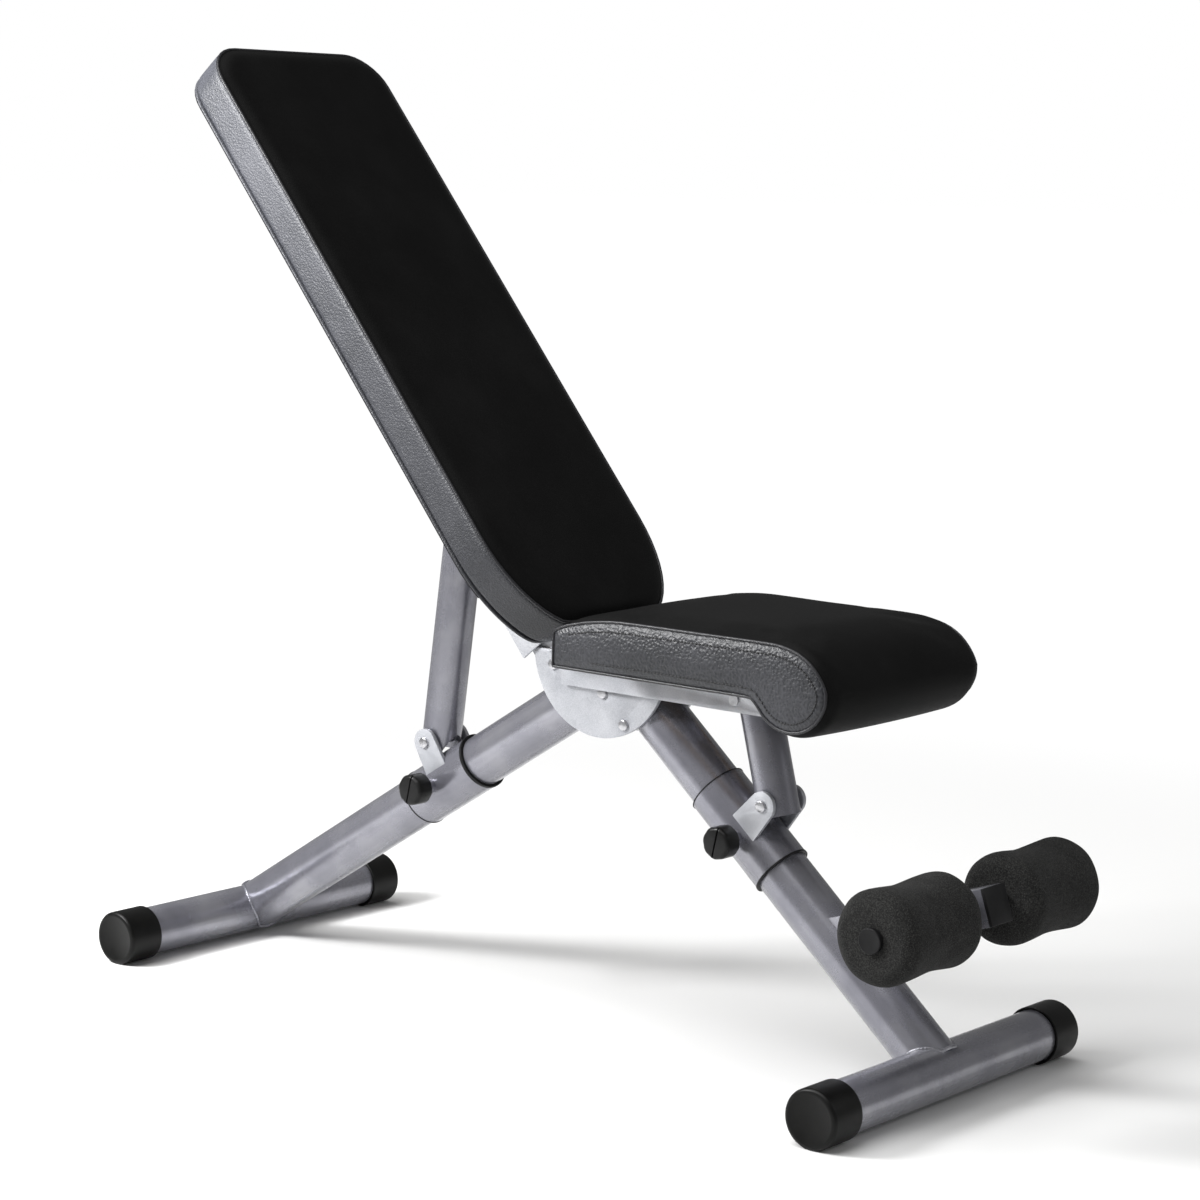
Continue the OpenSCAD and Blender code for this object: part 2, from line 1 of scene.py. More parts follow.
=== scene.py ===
# Adjustable weight bench, in metres: +X forwards to the foam rollers, +Y the sitter's left, +Z up.
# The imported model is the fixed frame, and every piece below follows the order the bench goes together.
import json
import math

import bpy
import numpy as np
from mathutils import Matrix, Vector

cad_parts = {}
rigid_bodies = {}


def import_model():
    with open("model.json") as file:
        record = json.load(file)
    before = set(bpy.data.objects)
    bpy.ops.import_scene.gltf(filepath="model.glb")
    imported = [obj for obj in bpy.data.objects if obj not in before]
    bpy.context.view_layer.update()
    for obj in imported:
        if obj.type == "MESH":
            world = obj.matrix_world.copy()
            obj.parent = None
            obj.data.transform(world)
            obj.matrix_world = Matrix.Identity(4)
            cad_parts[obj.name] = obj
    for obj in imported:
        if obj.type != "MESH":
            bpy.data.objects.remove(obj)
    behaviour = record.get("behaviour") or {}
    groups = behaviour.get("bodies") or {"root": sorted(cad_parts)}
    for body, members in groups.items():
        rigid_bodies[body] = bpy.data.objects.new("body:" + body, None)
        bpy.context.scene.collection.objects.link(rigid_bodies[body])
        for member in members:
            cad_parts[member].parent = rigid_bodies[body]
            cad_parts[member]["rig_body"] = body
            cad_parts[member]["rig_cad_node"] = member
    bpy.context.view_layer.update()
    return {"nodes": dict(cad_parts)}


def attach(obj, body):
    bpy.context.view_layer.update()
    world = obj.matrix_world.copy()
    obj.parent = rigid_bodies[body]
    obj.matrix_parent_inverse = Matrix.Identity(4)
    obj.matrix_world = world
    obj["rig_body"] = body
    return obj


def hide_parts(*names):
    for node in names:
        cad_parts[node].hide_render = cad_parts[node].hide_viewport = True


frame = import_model()
scene = bpy.context.scene
bpy.ops.object.select_all(action="DESELECT")

# ---------------------------------------------------------------------------------------------
# Studio: a camera to the front right of the bench, a pale floor that fades to white, a soft key
# light at the rear right, a broad one overhead, and a weak one at the front left.
# ---------------------------------------------------------------------------------------------
camera_place = Vector((2.19325, -2.6495, 0.9643))
camera_turn = (Matrix.Rotation(math.radians(39.457), 4, "Z")
               @ Matrix.Rotation(math.radians(90 - 8.086), 4, "X")
               @ Matrix.Rotation(math.radians(1.304), 4, "Z"))
bpy.ops.object.camera_add(location=camera_place, rotation=camera_turn.to_euler())
camera = bpy.context.object
camera.data.lens = 92.97
camera.data.sensor_width = 36
camera.data.clip_end = 200
scene.camera = camera
scene.view_settings.view_transform = "Standard"

bpy.ops.mesh.primitive_plane_add(size=120, location=(0, 0, 0))
floor = bpy.context.object
floor.name = "floor"
floor_paint = bpy.data.materials.new("floor_paint")
floor_paint.use_nodes = True
floor_nodes, floor_links = floor_paint.node_tree.nodes, floor_paint.node_tree.links
floor_skin = floor_nodes["Principled BSDF"]
floor_skin.inputs["Base Color"].default_value = (0.84, 0.84, 0.835, 1)
floor_skin.inputs["Roughness"].default_value = 0.9
floor_skin.inputs["Specular IOR Level"].default_value = 0.1
floor_place = floor_nodes.new("ShaderNodeTexCoord")
floor_reach = floor_nodes.new("ShaderNodeVectorMath")
floor_reach.operation = "LENGTH"
floor_fade = floor_nodes.new("ShaderNodeMapRange")
floor_fade.inputs["From Min"].default_value = 0.9
floor_fade.inputs["From Max"].default_value = 2.2
floor_fade.interpolation_type = "SMOOTHSTEP"
floor_seen = floor_nodes.new("ShaderNodeLightPath")
floor_white = floor_nodes.new("ShaderNodeEmission")
floor_strength = floor_nodes.new("ShaderNodeMapRange")
floor_strength.inputs["To Min"].default_value = 0.28
floor_strength.inputs["To Max"].default_value = 1.02
floor_mix = floor_nodes.new("ShaderNodeMixShader")
floor_links.new(floor_place.outputs["Object"], floor_reach.inputs[0])
floor_links.new(floor_reach.outputs["Value"], floor_fade.inputs["Value"])
floor_links.new(floor_seen.outputs["Is Camera Ray"], floor_strength.inputs["Value"])
floor_links.new(floor_strength.outputs["Result"], floor_white.inputs["Strength"])
floor_links.new(floor_fade.outputs["Result"], floor_mix.inputs["Fac"])
floor_links.new(floor_skin.outputs["BSDF"], floor_mix.inputs[1])
floor_links.new(floor_white.outputs["Emission"], floor_mix.inputs[2])
floor_links.new(floor_mix.outputs["Shader"], floor_nodes["Material Output"].inputs["Surface"])
floor.data.materials.append(floor_paint)


def studio_light(name, towards, distance, size, watts):
    """A square soft light that faces the middle of the bench."""
    middle = Vector((0, 0, 0.45))
    place = middle + Vector(towards).normalized() * distance
    bpy.ops.object.light_add(type="AREA", location=place,
                             rotation=(place - middle).to_track_quat("Z", "Y").to_euler())
    light = bpy.context.object
    light.name = name
    light.data.size = size
    light.data.energy = watts


studio_light("key_light", (-0.60, -0.75, 0.52), 2.0, 0.55, 50)
studio_light("back_light", (0.9, 0.35, 0.45), 3.2, 1.2, 9)
bpy.ops.object.light_add(type="SUN", rotation=(math.radians(21), math.radians(-13), 0))
sky_light = bpy.context.object
sky_light.name = "sky_light"
sky_light.data.energy = 2.35
sky_light.data.angle = math.radians(56)

world = bpy.data.worlds.new("studio")
scene.world = world
world.use_nodes = True
backdrop = world.node_tree.nodes["Background"]
backdrop.inputs["Color"].default_value = (1.0, 1.0, 1.0, 1)
seen = world.node_tree.nodes.new("ShaderNodeLightPath")
strength = world.node_tree.nodes.new("ShaderNodeMapRange")
strength.inputs["To Min"].default_value = 0.22
strength.inputs["To Max"].default_value = 1.0
world.node_tree.links.new(seen.outputs["Is Camera Ray"], strength.inputs["Value"])
world.node_tree.links.new(strength.outputs["Result"], backdrop.inputs["Strength"])

# ---------------------------------------------------------------------------------------------
# Foot tubes: two plain round steel tubes that lie across the bench, sprayed in silver paint.
# The paint has fine metal flake, soft cloudy patches and faint streaks along each tube.
# ---------------------------------------------------------------------------------------------


def blank_material(name):
    material = bpy.data.materials.new(name)
    material.use_nodes = True
    tree = material.node_tree
    return material, tree.nodes, tree.links, tree.nodes["Principled BSDF"]


def turned(nodes, links, turn=(0, 0, 0), stretch=(1, 1, 1)):
    """Object coordinates turned, then stretched."""
    place = nodes.new("ShaderNodeTexCoord")
    turn_node = nodes.new("ShaderNodeMapping")
    turn_node.inputs["Rotation"].default_value = turn
    stretch_node = nodes.new("ShaderNodeMapping")
    stretch_node.inputs["Scale"].default_value = stretch
    links.new(place.outputs["Object"], turn_node.inputs["Vector"])
    links.new(turn_node.outputs["Vector"], stretch_node.inputs["Vector"])
    return stretch_node.outputs["Vector"]


def noise(nodes, links, vector, scale, detail=2.0, rough=0.5):
    grain = nodes.new("ShaderNodeTexNoise")
    grain.inputs["Scale"].default_value = scale
    grain.inputs["Detail"].default_value = detail
    grain.inputs["Roughness"].default_value = rough
    links.new(vector, grain.inputs["Vector"])
    return grain.outputs["Fac"]


def added(nodes, links, first, second, share):
    """first + share * (second - 0.5)"""
    step = nodes.new("ShaderNodeMath")
    step.operation = "MULTIPLY_ADD"
    step.inputs[1].default_value = share
    lift = nodes.new("ShaderNodeMath")
    lift.operation = "SUBTRACT"
    lift.inputs[1].default_value = 0.5 * share
    links.new(second, step.inputs[0])
    links.new(first, lift.inputs[0])
    links.new(lift.outputs[0], step.inputs[2])
    return step.outputs[0]


def ramp(nodes, links, factor, stops):
    colours = nodes.new("ShaderNodeValToRGB")
    colours.color_ramp.elements[0].position = stops[0][0]
    colours.color_ramp.elements[0].color = (*stops[0][1], 1)
    colours.color_ramp.elements[1].position = stops[-1][0]
    colours.color_ramp.elements[1].color = (*stops[-1][1], 1)
    for position, colour in stops[1:-1]:
        colours.color_ramp.elements.new(position).color = (*colour, 1)
    links.new(factor, colours.inputs["Fac"])
    return colours.outputs["Color"]


def between(nodes, links, factor, low, high):
    spread = nodes.new("ShaderNodeMapRange")
    spread.inputs["To Min"].default_value = low
    spread.inputs["To Max"].default_value = high
    links.new(factor, spread.inputs["Value"])
    return spread.outputs["Result"]


def bumped(nodes, links, skin, height, strength, distance):
    bump = nodes.new("ShaderNodeBump")
    bump.inputs["Strength"].default_value = strength
    bump.inputs["Distance"].default_value = distance
    links.new(height, bump.inputs["Height"])
    links.new(bump.outputs["Normal"], skin.inputs["Normal"])


def silver_paint(name, turn):
    """Satin silver paint, with its streaks along local X after the turn."""
    material, nodes, links, skin = blank_material(name)
    plain = turned(nodes, links)
    streaks = noise(nodes, links, turned(nodes, links, turn, (3, 110, 110)), 1.0, 3.0)
    clouds = noise(nodes, links, plain, 17.0, 3.0)
    flake = noise(nodes, links, plain, 1500.0, 1.0)
    mixed = added(nodes, links, added(nodes, links, clouds, streaks, 0.3), flake, 0.35)
    links.new(ramp(nodes, links, mixed, [(0.25, (0.190, 0.190, 0.222)), (0.5, (0.250, 0.250, 0.286)),
                                         (0.75, (0.325, 0.325, 0.355))]), skin.inputs["Base Color"])
    links.new(between(nodes, links, mixed, 0.33, 0.22), skin.inputs["Roughness"])
    skin.inputs["Metallic"].default_value = 0.60
    skin.inputs["Coat Weight"].default_value = 0.6
    skin.inputs["Coat Roughness"].default_value = 0.20
    bumped(nodes, links, skin, noise(nodes, links, plain, 420.0), 0.06, 0.0004)
    return material


def paint_cad(material, *names):
    """A CAD node keeps its shape and takes this material."""
    for name in names:
        mesh = frame["nodes"][name].data
        mesh.materials.clear()
        mesh.materials.append(material)


foot_paint = silver_paint("silver_paint_feet", (0, 0, math.radians(90)))
paint_cad(foot_paint, "rear_foot_tube", "front_foot_tube")

# ---------------------------------------------------------------------------------------------
# Foot caps: moulded black rubber cups pushed over the four ends of the foot tubes. The outer
# rim is rounded, the end face is dished by half a millimetre, and a narrow flat meets the floor.
# ---------------------------------------------------------------------------------------------


def black_moulding(name, colour, smooth, grain_scale):
    material, nodes, links, skin = blank_material(name)
    plain = turned(nodes, links)
    scuffs = noise(nodes, links, plain, 60.0, 4.0)
    grain = noise(nodes, links, plain, grain_scale, 2.0)
    dark, pale = [c * 0.75 for c in colour], [c * 1.35 for c in colour]
    links.new(ramp(nodes, links, scuffs, [(0.3, dark), (0.7, pale)]), skin.inputs["Base Color"])
    links.new(between(nodes, links, added(nodes, links, scuffs, grain, 0.5), smooth - 0.06, smooth + 0.08),
              skin.inputs["Roughness"])
    skin.inputs["Specular IOR Level"].default_value = 0.18
    bumped(nodes, links, skin, grain, 0.12, 0.0003)
    return material


def pick(piece):
    bpy.ops.object.select_all(action="DESELECT")
    piece.select_set(True)
    bpy.context.view_layer.objects.active = piece


def edit_piece(piece):
    pick(piece)
    bpy.ops.object.mode_set(mode="EDIT")
    bpy.ops.mesh.select_all(action="DESELECT")
    bpy.ops.mesh.select_mode(type="FACE")


def pick_faces(piece, test):
    """Selects the faces whose middle and normal pass the test. Called in edit mode."""
    bpy.ops.mesh.select_all(action="DESELECT")
    bpy.ops.object.mode_set(mode="OBJECT")
    for face in piece.data.polygons:
        face.select = bool(test(face.center, face.normal))
    bpy.ops.object.mode_set(mode="EDIT")
    bpy.ops.mesh.select_mode(type="FACE")


def pick_edges(piece, test):
    """Selects the edges whose two ends pass the test. Called in edit mode."""
    bpy.ops.mesh.select_all(action="DESELECT")
    bpy.ops.mesh.select_mode(type="EDGE")
    bpy.ops.object.mode_set(mode="OBJECT")
    spots = piece.data.vertices
    for edge in piece.data.edges:
        edge.select = bool(test(spots[edge.vertices[0]].co, spots[edge.vertices[1]].co))
    bpy.ops.object.mode_set(mode="EDIT")


def lying_round(x, z, near, far, radius, vertices, turn=0):
    """A solid round bar that lies across the bench from near to far along Y, left in edit mode."""
    bpy.ops.mesh.primitive_cylinder_add(vertices=vertices, radius=radius, depth=abs(far - near),
                                        location=(x, (near + far) / 2, z),
                                        rotation=(math.radians(90), turn, 0))
    piece = bpy.context.object
    bpy.ops.object.transform_apply(location=True, rotation=True, scale=True)
    edit_piece(piece)
    return piece


def settle(piece, name, material, angle=35):
    """Back to object mode, with the place in the mesh, one material and smooth round faces."""
    bpy.ops.object.mode_set(mode="OBJECT")
    pick(piece)
    bpy.ops.object.transform_apply(location=True, rotation=True, scale=True)
    bpy.ops.object.shade_smooth_by_angle(angle=math.radians(angle))
    piece.name = name
    piece.data.name = name
    piece.data.materials.clear()
    piece.data.materials.append(material)
    return piece


def again(piece, name, move):
    """A copy with its own mesh, moved by a matrix that turns or shifts but never mirrors."""
    twin = piece.copy()
    twin.data = piece.data.copy()
    twin.data.transform(move)
    twin.name = name
    twin.data.name = name
    scene.collection.objects.link(twin)
    return twin


cap_rubber = black_moulding("black_rubber", (0.0034, 0.0034, 0.0032), 0.40, 700.0)
cap_radius, cap_length = 0.0318, 0.046
rear_x, front_x, foot_z, foot_end = -0.53565, 0.48435, 0.0312, 0.230
cap = lying_round(rear_x, foot_z, -foot_end, cap_length - foot_end, cap_radius, 96)
pick_edges(cap, lambda a, b: abs(a.y + foot_end) < 1e-4 and abs(b.y + foot_end) < 1e-4)
bpy.ops.mesh.bevel(offset=0.0042, segments=5, profile=0.5)
pick_faces(cap, lambda c, n: n.y < -0.99)
bpy.ops.mesh.inset(thickness=0.0016)
bpy.ops.mesh.inset(thickness=0.0008)
bpy.ops.transform.translate(value=(0, 0.0005, 0))
pick_faces(cap, lambda c, n: n.y > 0.99)
bpy.ops.mesh.inset(thickness=0.0010)
bpy.ops.transform.translate(value=(0, 0.0006, 0))
bpy.ops.mesh.inset(thickness=0.0018)
bpy.ops.transform.translate(value=(0, -0.0008, 0))
bpy.ops.mesh.select_all(action="SELECT")
bpy.ops.mesh.bisect(plane_co=(0, 0, 0.0001), plane_no=(0, 0, 1), clear_inner=True, use_fill=True)
cap = settle(cap, "rear_foot_cap_right_rubber", cap_rubber)
half_turn_rear = (Matrix.Translation((rear_x, 0, 0)) @ Matrix.Rotation(math.pi, 4, "Z")
                  @ Matrix.Translation((-rear_x, 0, 0)))
to_front = Matrix.Translation((front_x - rear_x, 0, 0))
caps = {"rear_foot_cap_right": cap,
        "rear_foot_cap_left": again(cap, "rear_foot_cap_left_rubber", half_turn_rear),
        "front_foot_cap_right": again(cap, "front_foot_cap_right_rubber", to_front),
        "front_foot_cap_left": again(cap, "front_foot_cap_left_rubber", to_front @ half_turn_rear)}
for cad_name, piece in caps.items():
    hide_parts(cad_name)
    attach(piece, "frame")

# ---------------------------------------------------------------------------------------------
# Legs: two round steel tubes that lean together at the hub, each saddle-cut onto its foot tube
# and welded all round. The weld is a low rippled bead under the same silver paint.
# ---------------------------------------------------------------------------------------------
rear_slope, front_slope = math.radians(32.3), math.radians(40.6)
rear_leg_paint = silver_paint("silver_paint_rear_leg", (0, rear_slope, 0))
front_leg_paint = silver_paint("silver_paint_front_leg", (0, -front_slope, 0))
paint_cad(rear_leg_paint, "rear_leg_tube")
paint_cad(front_leg_paint, "front_leg_tube")


def bead(name, route, radius, material, closed=True, ripple=0.12, pitch=0.0035):
    """A weld bead: a tube along the route whose thickness ripples, one ripple for each pitch."""
    count = len(route)
    step = sum((route[(i + 1) % count] - route[i]).length for i in range(count)) / count
    curve = bpy.data.curves.new(name, "CURVE")
    curve.dimensions = "3D"
    curve.bevel_depth = radius
    curve.bevel_resolution = 3
    line = curve.splines.new("POLY")
    line.points.add(count - 1)
    line.use_cyclic_u = closed
    for i, spot in enumerate(route):
        line.points[i].co = (*spot, 1)
        line.points[i].radius = 1 + ripple * math.sin(2 * math.pi * i * step / pitch)
    rope = bpy.data.objects.new(name, curve)
    scene.collection.objects.link(rope)
    pick(rope)
    bpy.ops.object.convert(target="MESH")
    piece = bpy.context.object
    bpy.ops.object.shade_smooth()
    piece.data.materials.clear()
    piece.data.materials.append(material)
    return piece


leg_radius, foot_radius = 0.030, 0.0285
for end, foot_x, slope, way, paint in (("rear", rear_x, rear_slope, 1, rear_leg_paint),
                                       ("front", front_x, front_slope, -1, front_leg_paint)):
    up_leg = Vector((way * math.cos(slope), 0, math.sin(slope)))
    off_leg = Vector((-way * math.sin(slope), 0, math.cos(slope)))
    route = []
    for i in range(220):
        turn = 2 * math.pi * i / 220
        reach = foot_radius ** 2 - (leg_radius * math.cos(turn)) ** 2
        along = max(math.sqrt(max(reach, 0)), 0.0085)
        route.append(Vector((foot_x, 0, foot_z)) + up_leg * along
                     + off_leg * leg_radius * math.cos(turn) + Vector((0, leg_radius * math.sin(turn), 0)))
    weld = bead(end + "_leg_weld", route, 0.0021, paint)
    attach(weld, "frame")

# ---------------------------------------------------------------------------------------------
# Hub: two round plates of pale silver sheet that clamp the tops of both legs, with eased edges.
# Domed bolts pass through both plates, and the cover plate closes the mitred tops of the legs.
# ---------------------------------------------------------------------------------------------


def plate_paint(name):
    """Pale silver paint with a coarse sparkle."""
    material, nodes, links, skin = blank_material(name)
    plain = turned(nodes, links)
    clouds = noise(nodes, links, plain, 22.0, 4.0)
    flake = noise(nodes, links, plain, 1100.0, 1.0)
    mixed = added(nodes, links, clouds, flake, 0.7)
    links.new(ramp(nodes, links, mixed, [(0.2, (0.34, 0.35, 0.38)), (0.5, (0.46, 0.47, 0.50)),
                                         (0.8, (0.58, 0.59, 0.62))]), skin.inputs["Base Color"])
    links.new(between(nodes, links, flake, 0.50, 0.36), skin.inputs["Roughness"])
    skin.inputs["Metallic"].default_value = 0.30
    bumped(nodes, links, skin, noise(nodes, links, plain, 500.0), 0.08, 0.0004)
    return material


def eased(cad_name, width, material):
    """A merged copy of a CAD node with its sharp edges rounded off, which stands for the node."""
    source = frame["nodes"][cad_name]
    piece = source.copy()
    piece.data = source.data.copy()
    piece.parent = None
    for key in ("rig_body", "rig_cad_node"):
        del piece[key]
    scene.collection.objects.link(piece)
    edit_piece(piece)
    bpy.ops.mesh.select_all(action="SELECT")
    bpy.ops.mesh.customdata_custom_splitnormals_clear()
    bpy.ops.mesh.remove_doubles(threshold=1e-6)
    bpy.ops.mesh.dissolve_limited(angle_limit=math.radians(0.8))
    bpy.ops.object.mode_set(mode="OBJECT")
    rounding = piece.modifiers.new("eased_edges", "BEVEL")
    rounding.width = width
    rounding.segments = 2
    rounding.limit_method = "ANGLE"
    rounding.angle_limit = math.radians(32)
    bpy.ops.object.modifier_apply(modifier=rounding.name)
    settle(piece, cad_name + "_finished", material, 30)
    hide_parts(cad_name)
    return piece


pale_paint = plate_paint("pale_silver_paint")
for cad_name in ("hub_plate_left", "hub_plate_right"):
    piece = eased(cad_name, 0.0008, pale_paint)
    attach(piece, "frame")
paint_cad(pale_paint, "hub_top_plate")


def bare_metal(name, colour, smooth):
    """Zinc-plated steel, with fine turning marks and a slight cloudy tarnish."""
    material, nodes, links, skin = blank_material(name)
    plain = turned(nodes, links)
    tarnish = noise(nodes, links, plain, 180.0, 3.0)
    fine = noise(nodes, links, plain, 2200.0, 1.0)
    dark, pale = [c * 0.8 for c in colour], [min(1, c * 1.15) for c in colour]
    links.new(ramp(nodes, links, tarnish, [(0.3, dark), (0.7, pale)]), skin.inputs["Base Color"])
    links.new(between(nodes, links, fine, smooth - 0.06, smooth + 0.08), skin.inputs["Roughness"])
    skin.inputs["Metallic"].default_value = 1.0
    bumped(nodes, links, skin, fine, 0.04, 0.0003)
    return material


zinc = bare_metal("zinc_plate", (0.55, 0.55, 0.57), 0.30)


def domed_head(name, x, y, z, radius, height, side):
    """A domed bolt or rivet head whose flat back is at y, standing out on the given side."""
    outer = y + side * height
    head = lying_round(x, z, y, outer, radius, 48)
    pick_edges(head, lambda a, b: abs(a.y - outer) < 1e-5 and abs(b.y - outer) < 1e-5)
    bpy.ops.mesh.bevel(offset=height * 0.45, segments=6, profile=0.5)
    pick_faces(head, lambda c, n: n.y * side > 0.99 and abs(c.y - outer) < 1e-5)
    bpy.ops.mesh.inset(thickness=(radius - height) * 0.5)
    bpy.ops.transform.translate(value=(0, side * height * 0.12, 0))
    return settle(head, name, zinc, 50)


def joined(name, pieces):
    bpy.ops.object.select_all(action="DESELECT")
    for piece in pieces:
        piece.select_set(True)
    bpy.context.view_layer.objects.active = pieces[0]
    bpy.ops.object.join()
    whole = bpy.context.object
    whole.name = name
    whole.data.name = name
    return whole


pivot_x, pivot_z = -0.02365, 0.404
hub_side, head_radius, head_height = 0.035, 0.0063, 0.0030
hub_heads = joined("hub_bolt_heads", [domed_head("head", x, -hub_side, z, head_radius, head_height, -1)
                                      for x, z in ((0.04835, 0.380), (0.07935, 0.348), (pivot_x, pivot_z))])
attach(hub_heads, "frame")
paint_cad(zinc, "hub_bolts", "hub_nuts", "back_pivot_bolt", "seat_pivot_bolt")
black_nylon = black_moulding("black_nylon", (0.0085, 0.0085, 0.0090), 0.44, 900.0)
paint_cad(black_nylon, "seat_pivot_spacers")

# ---------------------------------------------------------------------------------------------
# Roller arm: a square steel tube welded to the front leg, closed by a black plastic plug, with
# a round axle through it. Black nylon spacers and end caps keep the rollers in place.
# ---------------------------------------------------------------------------------------------
arm_slope = math.radians(18.6)
axle_x, axle_z = 0.51745, 0.2100
arm_paint = silver_paint("silver_paint_arm", (0, arm_slope, 0))
arm = eased("roller_arm", 0.0022, arm_paint)
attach(arm, "frame")
plug = eased("roller_arm_plug", 0.0009, black_nylon)
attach(plug, "frame")
paint_cad(zinc, "roller_axle")
paint_cad(black_nylon, "roller_spacers", "roller_core_left", "roller_core_right")

cap_out, cap_in, button_radius = 0.186, 0.1807, 0.0133
axle_caps = []
for side in (-1, 1):
    button = lying_round(axle_x, axle_z, side * cap_in, side * cap_out, button_radius, 64)
    pick_edges(button, lambda a, b: abs(a.y - side * cap_out) < 1e-5 and abs(b.y - side * cap_out) < 1e-5)
    bpy.ops.mesh.bevel(offset=0.0011, segments=4, profile=0.5)
    pick_faces(button, lambda c, n: n.y * side > 0.99)
    bpy.ops.mesh.inset(thickness=0.0016)
    bpy.ops.transform.translate(value=(0, -side * 0.0004, 0))
    axle_caps.append(settle(button, "axle_cap", black_nylon))
axle_caps = joined("roller_end_caps_finished", axle_caps)
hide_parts("roller_end_caps")
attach(axle_caps, "frame")

# ---------------------------------------------------------------------------------------------
# Foam rollers: thick charcoal foam sleeves pushed over plastic cores, waisted in the middle with
# full rounded ends. The foam is closed-cell, so its surface is finely pitted and a little uneven.
# ---------------------------------------------------------------------------------------------
foam, nodes, links, skin = blank_material("charcoal_foam")
plain = turned(nodes, links)
cells = nodes.new("ShaderNodeTexVoronoi")
cells.inputs["Scale"].default_value = 1000.0
links.new(plain, cells.inputs["Vector"])
speckle = noise(nodes, links, plain, 850.0, 3.0, 0.7)
patches = noise(nodes, links, plain, 45.0, 3.0)
mixed = added(nodes, links, added(nodes, links, speckle, patches, 0.15), cells.outputs["Distance"], 0.25)
links.new(ramp(nodes, links, mixed, [(0.36, (0.007, 0.007, 0.007)), (0.52, (0.021, 0.021, 0.0205)),
                                     (0.68, (0.046, 0.046, 0.044))]), skin.inputs["Base Color"])
skin.inputs["Roughness"].default_value = 0.92
skin.inputs["Specular IOR Level"].default_value = 0.1
skin.inputs["Sheen Weight"].default_value = 0.04
skin.inputs["Sheen Roughness"].default_value = 0.5
bumped(nodes, links, skin, added(nodes, links, speckle, cells.outputs["Distance"], 0.8), 0.55, 0.0009)

foam_radius, foam_near, foam_far, foam_bore = 0.0500, 0.0475, 0.1805, 0.0127
foam_middle, foam_half = (foam_near + foam_far) / 2, (foam_far - foam_near) / 2
foam_round, foam_waist, pocket_rim = 0.016, 0.0034, 0.0004
roller = lying_round(axle_x, axle_z, -foam_near, -foam_far, foam_radius, 128)
pick_edges(roller, lambda a, b: abs(a.y - b.y) < 1e-6)
bpy.ops.mesh.bevel(offset=foam_round, segments=9, profile=0.5)
for side in (-1, 1):
    pick_faces(roller, lambda c, n: n.y * side > 0.9999 and abs(c.y + foam_middle) > 0.06)
    for _ in range(5):
        bpy.ops.mesh.inset(thickness=(foam_radius - foam_round - foam_bore - pocket_rim) / 5)
    bpy.ops.mesh.inset(thickness=pocket_rim)
    bpy.ops.transform.translate(value=(0, -side * 0.0010, 0))
for i in range(1, 16):
    cut = -foam_middle + (foam_half - foam_round) * (i / 8 - 1)
    bpy.ops.mesh.select_all(action="SELECT")
    bpy.ops.mesh.bisect(plane_co=(0, cut, 0), plane_no=(0, 1, 0))
bpy.ops.object.mode_set(mode="OBJECT")
for spot in roller.data.vertices:
    x, z = spot.co.x - axle_x, spot.co.z - axle_z
    around, out, across = math.atan2(z, x), math.hypot(x, z), (spot.co.y + foam_middle) / foam_half
    waist = foam_waist * max(0.0, math.cos(across * math.pi / 2)) ** 2
    uneven = 0.00035 * math.sin(3 * around + 5 * across) + 0.00025 * math.sin(7 * around - 4 * across + 1)
    share = max(0.0, (out - foam_bore) / (foam_radius - foam_bore))
    scale = (out + share * (uneven - waist)) / out if out > 1e-6 else 1
    spot.co.x, spot.co.z = axle_x + x * scale, axle_z + z * scale
roller = settle(roller, "roller_foam_right_finished", foam, 60)
over = (Matrix.Translation((axle_x, 0, 0)) @ Matrix.Rotation(math.pi, 4, "Z")
        @ Matrix.Translation((-axle_x, 0, 0)))
for piece, side in ((roller, "right"), (again(roller, "roller_foam_left_finished", over), "left")):
    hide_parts("roller_foam_" + side)
    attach(piece, side + "_roller")

# ---------------------------------------------------------------------------------------------
# Sliding sleeves: a short length of wider tube on each leg, over two plastic bushes that show as
# thin rings at its ends. Two ears are welded on top and carry the strut's pin.
# ---------------------------------------------------------------------------------------------
paint_cad(rear_leg_paint, "rear_sleeve_tube", "rear_knob_boss")
paint_cad(front_leg_paint, "front_sleeve_tube", "front_knob_boss")
paint_cad(black_nylon, "rear_sleeve_bushes", "front_sleeve_bushes")
paint_cad(zinc, "rear_strut_pin", "front_strut_pin")
ear_out, rivet_radius, rivet_height = 0.030, 0.0064, 0.0031
for end, foot_x, slope, way, pin in (("rear", rear_x, rear_slope, 1, (0.400, 0.0485)),
                                     ("front", front_x, front_slope, -1, (0.330, 0.0504))):
    ears = eased(end + "_sleeve_ears", 0.0009, pale_paint)
    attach(ears, end + "_sleeve")
    pin_x = foot_x + way * (pin[0] * math.cos(slope) - pin[1] * math.sin(slope))
    pin_z = foot_z + pin[0] * math.sin(slope) + pin[1] * math.cos(slope)
    rivets = [domed_head("head", pin_x, side * ear_out, pin_z, rivet_radius, rivet_height, side)
              for side in (-1, 1)]
    rivets = joined(end + "_pin_heads", rivets)
    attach(rivets, end + "_sleeve")

